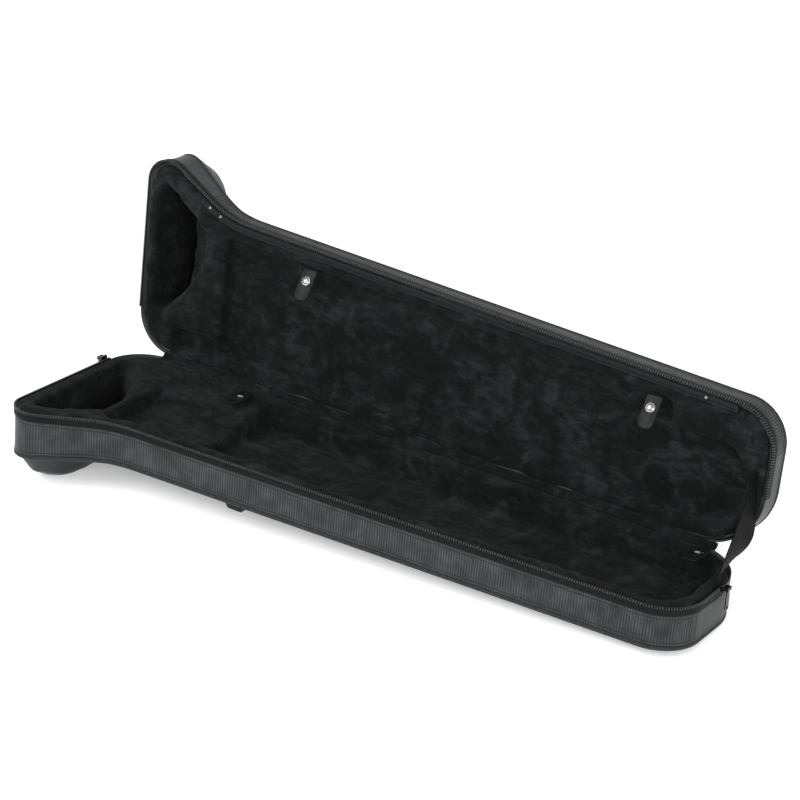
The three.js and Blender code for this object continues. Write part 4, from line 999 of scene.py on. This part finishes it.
piping_section = round_section(PIPING_RADIUS, PIPING_INSET, PIPING_RADIUS, PIPING_SIDES)
for side, half in HALF_NAMES.items():
    piping = rim_strip(f"{half}_piping_cord", side, piping_section)
    finish_piece(piping, PIPING_CLOTH, half, [f"{half}_piping"])
print("piping made")

# %% [markdown]
# ## The zip
#
# Each half carries a tape with a coil on its edge. The coil is really hundreds of small loops.
# Here each loop is a short tapered tooth, copied along the rim at an even pitch, and a dark core
# behind the teeth closes the gaps between them. Teeth drawn by a bump would vanish edge on, and
# the zip is mostly seen edge on.

# %% Zip tapes and coils
TAPE_OUT = 1.7 * MM
TAPE_IN = 0.3 * MM
TAPE_LOW = 12.2 * MM
TAPE_HEM = 0.5 * MM
COIL_TOP = 0.4 * MM
COIL_LOW = 3.4 * MM
COIL_OUT = 1.9 * MM
COIL_IN = 1.2 * MM
CORE_TOP = 0.9 * MM
CORE_OUT = 0.6 * MM
TOOTH_PITCH = 3.3 * MM
TOOTH_SHARE = 0.44
TOOTH_TAPER = 0.7
TAPE_SECTION = from_rim([
    (-TAPE_OUT + TAPE_HEM, BAND_TOP),
    (-TAPE_OUT, BAND_TOP + TAPE_HEM),
    (-TAPE_OUT, TAPE_LOW - TAPE_HEM),
    (-TAPE_OUT + TAPE_HEM, TAPE_LOW),
    (-TAPE_IN, TAPE_LOW),
    (-TAPE_IN, BAND_TOP),
])
CORE_SECTION = from_rim([
    (-CORE_OUT, CORE_TOP),
    (-CORE_OUT, BAND_TOP),
    (COIL_IN, BAND_TOP),
    (COIL_IN, CORE_TOP),
])
TOOTH_SIZES = (TOOTH_PITCH * TOOTH_SHARE, COIL_OUT + COIL_IN / 2, COIL_LOW - COIL_TOP)
TOOTH_DEPTH = (COIL_TOP + COIL_LOW) / 2

for side, half in HALF_NAMES.items():
    tape = rim_strip(f"{half}_zip_cloth", side, TAPE_SECTION, ZIP_RUN)
    finish_piece(tape, TAPE_CLOTH, half, [f"{half}_zip_tape"])
    core = rim_strip(f"{half}_zip_core", side, CORE_SECTION, ZIP_RUN)
    finish_piece(core, TAPE_CLOTH, half)
    places, outward = seam_places(side, ZIP_RUN, -COIL_OUT / 2, TOOTH_PITCH, TOOTH_DEPTH)
    teeth = small_blocks(f"{half}_zip_teeth", side, places, outward, TOOTH_SIZES, TOOTH_TAPER)
    finish_piece(teeth, COIL, half, [f"{half}_zip_coil"])
    print(half, "zip teeth", len(places))

# %% [markdown]
# ## Zip guard
#
# A strip of dark cloth lies inside the lid's zip, so that the plush doesn't catch in it. Its
# inner edge is a rolled hem that catches the light, and the hem's cloth is painted lighter as
# painted highlight. The hem is a thin round strip of its own, because a rounded edge on the flat
# one would be lost here.

# %% Guard strip and hem
GUARD_START = 92 * MM
GUARD_OUTER = 3.5 * MM
GUARD_INNER = 11.5 * MM
GUARD_DEPTHS = (0.8 * MM, 1.9 * MM)
HEM_RADIUS = 0.7 * MM
HEM_SIDES = 8

front_run = rim.run(rim.marks["bell_front"][1], rim.marks["narrow_front"][0])
guard_run = [k for k in front_run if rim.points[k][0] >= GUARD_START]
guard_top, guard_low = GUARD_DEPTHS
guard_corners = [
    (GUARD_OUTER, guard_top),
    (GUARD_INNER, guard_top),
    (GUARD_INNER, guard_low),
    (GUARD_OUTER, guard_low),
]
guard = rim_strip("zip_guard_strip", LID_SIDE, from_rim(guard_corners), guard_run)
finish_piece(guard, GUARD_CLOTH, "lid", ["zip_guard"])
hem_depth = (guard_top + guard_low) / 2
hem_section = from_rim([
    (GUARD_INNER + HEM_RADIUS * math.cos(turn), hem_depth + HEM_RADIUS * math.sin(turn))
    for turn in circle_turns(HEM_SIDES)
])
hem = rim_strip("zip_guard_hem", LID_SIDE, hem_section, guard_run)
finish_piece(hem, HEM_HIGHLIGHT_CLOTH, "lid")
print("guard made of", len(guard_run), "steps")

# %% [markdown]
# ## Guard studs
#
# The studs are small domed rivets. A piece that is round about one axis is made from its profile,
# as on a lathe, and the same helper makes the snaps, the handle's grip and its rivets further on.

# %% Lathe pieces and guard studs
STUD_INSET = 7.5 * MM
STUD_PLACES = [104 * MM, 122 * MM, CASE_LENGTH - 95 * MM]
STUD_RADIUS = 2 * MM
STUD_HEIGHT = 0.5 * MM
ROUND_SIDES = 24


def turned(name, profile, matrix, sides=ROUND_SIDES):
    """A lathe piece: each (radius, height) of the profile is one ring round Z."""
    rings = [
        [(radius * math.cos(turn), radius * math.sin(turn), height) for turn in circle_turns(sides)]
        for radius, height in profile
    ]
    return skin(name, rings, matrix)


def dome_profile(radius, height, steps=6):
    """A quarter round, closed by a very small ring at its top."""
    quarter = [math.pi / 2 * k / steps for k in range(steps)]
    slope = [(radius * math.cos(turn), height * math.sin(turn)) for turn in quarter]
    return slope + [(radius / ROUND_SIDES, height)]


for number, x in enumerate(STUD_PLACES, 1):
    nearest = guard_run[int(np.argmin([abs(rim.points[k][0] - x) for k in guard_run]))]
    slope = -rim.outward[nearest][0] / rim.outward[nearest][1]
    edge = rim.points[nearest] - rim.outward[nearest] * STUD_INSET
    y = edge[1] + slope * (x - edge[0])
    turn = Matrix.Translation((x, y, STUD_HEIGHT)) @ Matrix.Rotation(math.pi, 4, "X")
    stud = turned(f"guard_stud_{number}", dome_profile(STUD_RADIUS, STUD_HEIGHT), LID_TO_ROW @ turn)
    finish_piece(stud, NICKEL, "lid", [f"zip_guard_stud_{number}"])
print("guard studs", len(STUD_PLACES))

# %% [markdown]
# ## Hinge cloth
#
# There is no metal hinge. A strip of nylon is glued down the back of the base and along the lid's
# spine, and bends in the crease. Inside, the plush laps over the same crease.

# %% Hinge cloth and the plush over the crease
HINGE_START = 56.6 * MM
HINGE_END = CASE_LENGTH - 78 * MM
HINGE_STEP = 8 * MM
HINGE_ROUGHNESS = 0.2 * MM
CREASE_START = HINGE_START - 10 * MM
CREASE_END = HINGE_END + 28 * MM
CREASE_STEP = 4 * MM
CREASE_ROUGHNESS = 0.7 * MM
UNEVEN_SIZE = 11 * MM
# Sections are (y, z) in millimetres.
HINGE_SECTION = [
    (0.3, -16), (1.2, -16.1), (1.7, -15.6), (1.7, -3.2), (2.2, -2.2), (3.4, -1.9),
    (15.4, -2.45), (15.9, -2.0), (15.96, -1.1), (2.2, -0.42), (0.7, -0.6), (0.3, -1.4),
]
CREASE_SECTION = [
    (-6.0, -3.8), (-4.0, -2.5), (-1.6, -1.6), (0.3, -0.5), (1.7, 1.6), (2.6, 3.2),
    (3.6, 3.2), (3.0, 1.0), (1.1, -1.3), (-1.6, -3.0),
]


def cross_strip(name, section, start, end, step, roughness):
    """A strip along the hinge, with a slightly uneven surface."""
    places = np.linspace(start, end, round((end - start) / step) + 1)
    flat = np.array(section) * MM
    rings = np.array([[(x, y, z) for y, z in flat] for x in places])
    weave = np.zeros(rings.shape)
    weave[:, :, 0] = places[:, None]
    weave[:, :, 1] = np.concatenate([[0], np.cumsum(np.linalg.norm(np.diff(flat, axis=0), axis=1))])
    uneven = [wrinkle(rings[:, j], UNEVEN_SIZE, roughness, j) for j in range(len(flat))]
    rings[:, :, 2] += np.stack(uneven, axis=1)
    return skin(name, rings, TO_ROW, weave)


hinge = cross_strip(
    "hinge_strip", HINGE_SECTION, HINGE_START, HINGE_END, HINGE_STEP, HINGE_ROUGHNESS
)
finish_piece(hinge, NYLON, None, ["hinge_cloth"])
crease = cross_strip(
    "crease_plush", CREASE_SECTION, CREASE_START, CREASE_END, CREASE_STEP, CREASE_ROUGHNESS
)
finish_piece(crease, PLUSH, None)
for piece in (hinge, crease):
    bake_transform(piece)
print("hinge strip", len(hinge.data.polygons), "faces")

# %% [markdown]
# ## Ribbons
#
# Straps, webbing and the lid stay are all flat bands between two edge lines. One helper skins
# such a band with rounded edges, and for leather it also presses in the creased line that a
# saddler runs along each side, which keeps the edge from fraying.

# %% A band between two edge lines
# Edge points are (distance from the edge in millimetres, share of the half thickness).
PLAIN_EDGE = [(0.0, 0.0), (0.12, 0.7), (0.35, 1.0)]
CREASED_EDGE = [(0.0, 0.0), (0.15, 0.65), (0.5, 0.95), (1.5, 1.0), (1.8, 0.72), (2.1, 1.0)]
MIDDLE_SHARES = (0.4, 0.6)


def ribbon(name, left, right, thickness, matrix, edge=PLAIN_EDGE):
    """A flat band: each ring goes over its upper side and back along its lower one."""
    left, right = np.array(left, float), np.array(right, float)
    middle = (left + right) / 2
    tangents = np.gradient(middle, axis=0)
    across = right - left
    widths = np.linalg.norm(across, axis=1)
    across = across / widths[:, None]
    normals = np.cross(tangents, across)
    normals /= np.linalg.norm(normals, axis=1)[:, None]
    distances = np.concatenate([[0], np.cumsum(np.linalg.norm(np.diff(middle, axis=0), axis=1))])
    rings, weave = [], []
    for start, width, direction, normal, distance in zip(left, widths, across, normals, distances):
        marks = [(mark * MM, share) for mark, share in edge]
        marks += [(width * share, 1.0) for share in MIDDLE_SHARES]
        marks += [(width - mark * MM, share) for mark, share in reversed(edge)]
        back = marks[-2:0:-1]
        over = [start + direction * mark + normal * share * thickness / 2 for mark, share in marks]
        under = [start + direction * mark - normal * share * thickness / 2 for mark, share in back]
        rings.append(over + under)
        weave.append([(distance, mark, 0) for mark, _ in marks + back])
    return skin(name, rings, matrix, weave)


print("ribbon helper ready")

# %% [markdown]
# ## Snap straps
#
# Four leather straps hold the instrument: two over the slide in the lid, two over the bell's tube
# in the base. Each is a folded strip. Its lower leg is sewn to the lining and carries the stud,
# and its upper leg carries the domed cap of the press snap. Leg and flap are made apart, because
# the flap has to turn at the fold.

# %% Folded leather
LEATHER_THICKNESS = 1.5 * MM
FOLD_MIDDLE = 0.9 * MM
FOLD_RADIUS = 1.65 * MM
STRAP_HALF_WIDTH = 10 * MM
STRAP_END_RADIUS = 7 * MM
FLAP_LENGTH = 41 * MM
BACKING_LENGTH = 24 * MM
BACKING_START = 2.2 * MM
FOLD_STEPS = 9
FLAP_STEPS = 26
BACKING_STEPS = 14


def strap_edges(path, length):
    """Both edges of a strap of this length, drawn in at its rounded end."""
    left, right = [], []
    for y, z, distance in path:
        into_end = max(0.0, distance - (length - STRAP_END_RADIUS))
        drawn_in = STRAP_END_RADIUS - math.sqrt(max(0.0, STRAP_END_RADIUS**2 - into_end**2))
        half = STRAP_HALF_WIDTH - drawn_in
        left.append((-half, y, z))
        right.append((half, y, z))
    return left, right


def run_out(start, length, height, steps):
    """Straight along -Y, with closer steps towards the end."""
    shares = np.sin(np.linspace(0, math.pi / 2, steps))
    distances = [start + (length - start) * share for share in shares]
    return [(-distance, height, distance) for distance in distances]


def strap_leathers(name, place, holder):
    """The flap with its fold, and the leg that is sewn down."""
    fold_turns = np.linspace(-math.pi / 2, math.pi / 2, FOLD_STEPS)
    fold = [(FOLD_MIDDLE * math.cos(t), FOLD_MIDDLE * math.sin(t), 0.0) for t in fold_turns]
    flap_path = fold[:-1] + run_out(0, FLAP_LENGTH, FOLD_MIDDLE, FLAP_STEPS)
    left, right = strap_edges(flap_path, FLAP_LENGTH)
    flap = ribbon(f"{name}_flap_leather", left, right, LEATHER_THICKNESS, place, CREASED_EDGE)
    finish_piece(flap, LEATHER, name, [f"{name}_flap"])
    backing_path = run_out(BACKING_START, BACKING_LENGTH, -FOLD_MIDDLE, BACKING_STEPS)
    left, right = strap_edges(backing_path, BACKING_LENGTH)
    backing = ribbon(f"{name}_backing_leather", left, right, LEATHER_THICKNESS, place, CREASED_EDGE)
    finish_piece(backing, LEATHER, holder, [f"{name}_backing"])


print("strap leather", LEATHER_THICKNESS, "m thick")

# %% [markdown]
# ## Press snaps
#
# A press snap is a domed cap over a turned post, both of thin plated metal. Each is one profile
# turned round its axis, with a dent round the dome where the real cap is pressed. The caps turn
# with their flaps and the posts stay on the sewn legs.

# %% Four straps with their snaps
SNAP_FROM_FOLD = 15 * MM
CAP_BASE = 1.95 * MM
# Profiles are (radius, height) in millimetres.
CAP_PROFILE = [
    (5.9, 0), (6.25, 0.15), (6.3, 0.5), (6.15, 0.85), (5.6, 1.0), (5.25, 0.95), (4.95, 1.15),
    (4.3, 1.72), (3.2, 2.12), (1.8, 2.34), (0.4, 2.4),
]
POST_PROFILE = [
    (2.6, 0), (2.6, 0.3), (1.9, 0.45), (1.6, 0.75), (1.8, 1.05), (1.5, 1.2), (0.3, 1.2),
]
POST_BASE = 0.15 * MM
SLIDE_STRAP_PLACES = (270 * MM, CASE_LENGTH - 161 * MM)
BELL_STRAP_PLACES = ((208 * MM, 25 * MM), (880 * MM, 14 * MM))
LID_STRAP_TURN = math.radians(149)
LID_STRAP_DEPTH = 3.4 * MM
LID_TRAY_MARGIN = 27 * MM
STRAP_WALL_GAP = 0.9 * MM
BASE_STRAP_DEPTH = 0.25 * MM


def case_width(x):
    """How wide the case is at a place beyond the neck."""
    return NECK_WIDTH + (NARROW_END_WIDTH - NECK_WIDTH) * (x - NECK_X) / (CASE_LENGTH - NECK_X)


def snap_part(name, profile, place, height):
    """A round part of the snap, at its height over the strap."""
    in_metres = [(radius * MM, rise * MM) for radius, rise in profile]
    return turned(name, in_metres, place @ Matrix.Translation((0, -SNAP_FROM_FOLD, height)))


def snap_strap(name, place, holder):
    strap_leathers(name, place, holder)
    cap = snap_part(f"{name}_cap", CAP_PROFILE, place, CAP_BASE)
    finish_piece(cap, NICKEL, name, [f"{name}_snap_cap"])
    post = snap_part(f"{name}_post", POST_PROFILE, place, POST_BASE)
    finish_piece(post, NICKEL, holder, [f"{name}_snap_stud"])


for number, x in enumerate(SLIDE_STRAP_PLACES, 1):
    ledge = -(case_width(x) - LID_TRAY_MARGIN) + FOLD_RADIUS + STRAP_WALL_GAP
    lean = Matrix.Rotation(LID_STRAP_TURN, 4, "X")
    place = Matrix.Translation((x, ledge, LID_STRAP_DEPTH)) @ lean
    snap_strap(f"slide_strap_{number}", LID_TO_ROW @ place, "lid")
for number, (x, from_hinge) in enumerate(BELL_STRAP_PLACES, 1):
    place = Matrix.Translation((x, -from_hinge, -BASE_STRAP_DEPTH))
    snap_strap(f"bell_strap_{number}", TO_ROW @ place, "base")
print("four snap straps")

# %% [markdown]
# ## Lid stay
#
# At the narrow end a gusset of cloth stops the lid when it stands open, and folds into the case
# when it closes.
# It hangs stretched between four points, so two edge lines give its shape without a simulation.

# %% Stay
STAY_THICKNESS = 1.2 * MM
STAY_RIM_DEPTH = 1.8 * MM
STAY_STEPS = 24
# Each end is (from the hinge, in from the edge), for the far edge and the near one.
STAY_FOOT = ((100 * MM, 4 * MM), (24 * MM, 1 * MM))
STAY_HEAD = ((110 * MM, 17 * MM), (47 * MM, 1 * MM))
STAY_BOW = 10 * MM
STAY_DRAW_IN = 2 * MM
NARROW_BACK_RADIUS = 78 * MM


def narrow_end_at(from_hinge, inset):
    """How far along the case its narrow end is, at this distance from the hinge."""
    radius = NARROW_BACK_RADIUS - inset
    rise = max(0.0, NARROW_BACK_RADIUS - from_hinge)
    return CASE_LENGTH - NARROW_BACK_RADIUS + math.sqrt(radius**2 - rise**2)


def stay_edge(foot, head, bowed, drawn):
    """One edge of the stay, from the base's rim up to the lid's, a little curved."""
    from_hinge, inset = foot
    low = Vector((narrow_end_at(from_hinge, inset), -from_hinge, -STAY_RIM_DEPTH))
    from_hinge, inset = head
    high = Vector((narrow_end_at(from_hinge, inset), -from_hinge, STAY_RIM_DEPTH))
    high = Matrix.Rotation(-OPEN_ANGLE, 3, "X") @ high
    line = []
    for step in range(STAY_STEPS + 1):
        share = step / STAY_STEPS
        slack = math.sin(math.pi * share)
        line.append(low.lerp(high, share) + Vector((bowed, drawn, -drawn)) * slack)
    return line


far_edge = stay_edge(STAY_FOOT[0], STAY_HEAD[0], 0.0, STAY_DRAW_IN)
near_edge = stay_edge(STAY_FOOT[1], STAY_HEAD[1], STAY_BOW, 0.0)
stay = ribbon("stay_webbing", far_edge, near_edge, STAY_THICKNESS, TO_ROW)
finish_piece(stay, STAY_CLOTH, "base", ["lid_stay"])
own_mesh(stay)
print("stay", len(stay.data.polygons), "faces")

# %% [markdown]
# ## Seam tab
#
# The small loop of webbing under the front seam is a pull tab, doubled over and sewn in. Its path
# goes down, round a half circle and up again, and the edges draw in towards the fold as woven
# tape does when it is bent sharply.

# %% Seam tab
TAB_PLACE = 323 * MM
TAB_HALF_LENGTH = 15 * MM
TAB_THICKNESS = 1.5 * MM
TAB_DROP = 9.5 * MM
TAB_FOLD_RADIUS = 2.35 * MM
TAB_FROM_FRONT = 5 * MM
TAB_ROUNDING_SHARE = 0.8
TAB_LEG_STEPS = 8
TAB_ROUND_STEPS = 13


def seam_tab():
    legs = TAB_DROP - TAB_FOLD_RADIUS - TAB_THICKNESS / 2
    down = [(-TAB_FOLD_RADIUS, -legs * share) for share in np.linspace(0, 1, TAB_LEG_STEPS)]
    turns = np.linspace(math.pi, 2 * math.pi, TAB_ROUND_STEPS)[1:-1]
    round_bottom = [
        (TAB_FOLD_RADIUS * math.cos(turn), -legs + TAB_FOLD_RADIUS * math.sin(turn))
        for turn in turns
    ]
    path = down + round_bottom + [(-y, z) for y, z in reversed(down)]
    left, right = [], []
    for y, z in path:
        narrowing = math.sqrt(1 - TAB_ROUNDING_SHARE * (z / TAB_DROP) ** 2)
        left.append((-TAB_HALF_LENGTH * narrowing, y, z))
        right.append((TAB_HALF_LENGTH * narrowing, y, z))
    y = -case_width(TAB_PLACE) + TAB_FROM_FRONT + TAB_FOLD_RADIUS + TAB_THICKNESS / 2
    z = -float(edge_depth(BASE_SIDE, TAB_PLACE))
    place = TO_ROW @ Matrix.Translation((TAB_PLACE, y, z))
    tab = ribbon("front_seam_tab", left, right, TAB_THICKNESS, place)
    finish_piece(tab, WEBBING, "base", ["seam_tab"])


seam_tab()
print("seam tab", TAB_DROP, "m deep")

# %% [markdown]
# ## Handle
#
# The handle is a steel wire bail that turns in two riveted brackets on the case's spine. The wire
# is a round section that follows a path with smooth corners, as the real one is bent from a rod.

# %% Wire bail
HANDLE_PLACE = Matrix.Translation((432 * MM, 10.5 * MM, -25 * MM))
BAIL_HALF_SPAN = 61 * MM
BAIL_REACH = 30 * MM
BAIL_CORNER = 12 * MM
BAIL_RADIUS = 3 * MM
BAIL_END = 35.7 * MM
WIRE_SIDES = 16
CORNER_STEPS = 8


def rounded_path(corners, radius):
    """Straight runs joined by smooth corners."""
    corners = [Vector(corner) for corner in corners]
    path = [corners[0]]
    for before, corner, after in zip(corners, corners[1:], corners[2:]):
        start = corner + (before - corner).normalized() * radius
        end = corner + (after - corner).normalized() * radius
        for k in range(CORNER_STEPS + 1):
            share = k / CORNER_STEPS
            path.append(start.lerp(corner, share).lerp(corner.lerp(end, share), share))
    return path + [corners[-1]]


def wire(name, path, radius, matrix):
    """A round wire along a path that stays in the XZ plane."""
    sideways = Vector((0, 1, 0))
    rings = []
    for point, tangent in zip(path, np.gradient(np.array(path), axis=0)):
        inward = Vector(tangent).cross(sideways).normalized()
        spokes = [sideways * math.cos(t) + inward * math.sin(t) for t in circle_turns(WIRE_SIDES)]
        rings.append([tuple(point + spoke * radius) for spoke in spokes])
    return skin(name, rings, matrix)


hanging = TO_ROW @ HANDLE_PLACE @ Matrix.Rotation(FLOOR_LEAN, 4, "X")
bail_corners = [
    (-BAIL_END, 0, 0), (-BAIL_HALF_SPAN, 0, 0), (-BAIL_HALF_SPAN, 0, -BAIL_REACH),
    (BAIL_HALF_SPAN, 0, -BAIL_REACH), (BAIL_HALF_SPAN, 0, 0), (BAIL_END, 0, 0),
]
bail = wire("bail_wire", rounded_path(bail_corners, BAIL_CORNER), BAIL_RADIUS, hanging)
finish_piece(bail, NICKEL, "handle", ["handle_bail"])
print("bail", len(bail.data.polygons), "faces")

# %% [markdown]
# ## Grip and rivets
#
# The grip is rubber moulded round the bail, with shallow swells for the fingers, and round-headed
# rivets hold the brackets. All are round about an axis, so they are lathe pieces too. A few soft
# swells are enough here, as the handle hangs behind the case.

# %% Grip and rivets
GRIP_HALF_LENGTH = 46 * MM
GRIP_RADIUS = 8.7 * MM
GRIP_SWELL = 0.4 * MM
GRIP_SWELLS = 4
BRACKET_OFF_CENTRE = 42.7 * MM
RIVET_OFF_CENTRE = 11 * MM
RIVET_RADIUS = 3 * MM
RIVET_HEIGHT = 1.4 * MM
RIVET_BACK = -7.9 * MM
GRIP_SIDES = 32
GRIP_STEPS = 65
GRIP_END_MARGIN = 2 * MM
# The rounded end of the grip, as (share of its radius, distance in from the end).
GRIP_END = ((0.62, 0.0), (0.9, 0.6 * MM))


def grip_profile():
    """A plain grip with shallow swells for the fingers, the same at both ends."""
    end = [(GRIP_RADIUS * share, -GRIP_HALF_LENGTH + inset) for share, inset in GRIP_END]
    reach = GRIP_HALF_LENGTH - GRIP_END_MARGIN
    profile = list(end)
    for place in np.linspace(-reach, reach, GRIP_STEPS):
        turn = math.pi * GRIP_SWELLS * (place + GRIP_HALF_LENGTH) / GRIP_HALF_LENGTH
        profile.append((GRIP_RADIUS - GRIP_SWELL * math.cos(turn), place))
    return profile + [(radius, -height) for radius, height in reversed(end)]


on_bail = hanging @ Matrix.Translation((0, 0, -BAIL_REACH)) @ Matrix.Rotation(math.pi / 2, 4, "Y")
grip = turned("moulded_grip", grip_profile(), on_bail, GRIP_SIDES)
finish_piece(grip, RUBBER, "handle", ["handle_grip"])
outward_turn = Matrix.Rotation(-math.pi / 2, 4, "X")
rivet_places = [
    bracket_side * BRACKET_OFF_CENTRE + rivet_side * RIVET_OFF_CENTRE
    for bracket_side in (-1, 1)
    for rivet_side in (-1, 1)
]
for number, x in enumerate(rivet_places, 1):
    place = TO_ROW @ HANDLE_PLACE @ Matrix.Translation((x, RIVET_BACK, 0)) @ outward_turn
    rivet = turned(f"bracket_rivet_{number}", dome_profile(RIVET_RADIUS, RIVET_HEIGHT), place)
    finish_piece(rivet, NICKEL, "base", [f"handle_rivet_{number}"])
print("grip and", len(rivet_places), "rivets")

# %% [markdown]
# ## Brackets, sliders and pulls
#
# These are cast or pressed metal. Their frame solids already have the right shape, so they are
# copied and only get the small edge radius that real metal has. A bevel on the sharp edges alone
# keeps the flat faces flat, and each edge then catches a thin line of light.

# %% Metal copied from the frame, with softened edges
EDGE_RADIUS = 0.5 * MM
WELD_DISTANCE = 0.01 * MM
FLAT_ANGLE = math.radians(2)
SHARP_ANGLE = math.radians(40)


def is_sharp(edge):
    return len(edge.link_faces) == 2 and edge.calc_face_angle() > SHARP_ANGLE


def softened(name, source, radius):
    """A copy of a frame solid whose sharp edges are rounded."""
    made = bmesh.new()
    made.from_mesh(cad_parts[source].data)
    bmesh.ops.remove_doubles(made, verts=made.verts, dist=WELD_DISTANCE)
    bmesh.ops.dissolve_limit(made, angle_limit=FLAT_ANGLE, verts=made.verts, edges=made.edges)
    sharp = [edge for edge in made.edges if is_sharp(edge)]
    bmesh.ops.bevel(made, geom=sharp, offset=radius, segments=2, affect="EDGES", clamp_overlap=True)
    mesh = bpy.data.meshes.new(name)
    made.to_mesh(mesh)
    made.free()
    piece = bpy.data.objects.new(name, mesh)
    bpy.context.scene.collection.objects.link(piece)
    return piece


for number in (1, 2):
    bracket = softened(f"bracket_{number}", f"handle_bracket_{number}", EDGE_RADIUS)
    finish_piece(bracket, NICKEL, "base", [f"handle_bracket_{number}"])
for end in ("bell_end", "narrow_end"):
    slider = softened(f"{end}_slider_body", f"{end}_zip_slider", EDGE_RADIUS)
    finish_piece(slider, DARK_NICKEL, f"{end}_slider", [f"{end}_zip_slider"])
    pull = softened(f"{end}_pull_plate", f"{end}_zip_pull_tab", EDGE_RADIUS / 2)
    finish_piece(pull, DARK_NICKEL, f"{end}_pull", [f"{end}_zip_pull_tab"])
left_over = [name for name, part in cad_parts.items() if not part.hide_render]
print("frame nodes still shown", left_over)

# %% [markdown]
# ## Floor
#
# In the photograph the ground is so bright that hardly any shadow is left. A large pale floor
# with a weak glow of its own does that, and keeps a faint contact shadow. A background laid in
# afterwards would have none.

# %% Floor
FLOOR_SIZE = 30.0
TABLE_GLOW = 0.25


def pale_floor():
    half = FLOOR_SIZE / 2
    corners = [(-half, -half, 0), (half, -half, 0), (half, half, 0), (-half, half, 0)]
    floor = add_mesh("floor", corners, [(0, 1, 2, 3)], smooth=False)
    material, shader = new_material("pale_floor", 0.9)
    dye(material, shader, noise_value(material, scale=4), two_tones(0.88, 0.92), tone=1.0)
    shader.inputs["Emission Color"].default_value = (1, 1, 1, 1)
    shader.inputs["Emission Strength"].default_value = TABLE_GLOW
    floor.data.materials.append(material)


pale_floor()
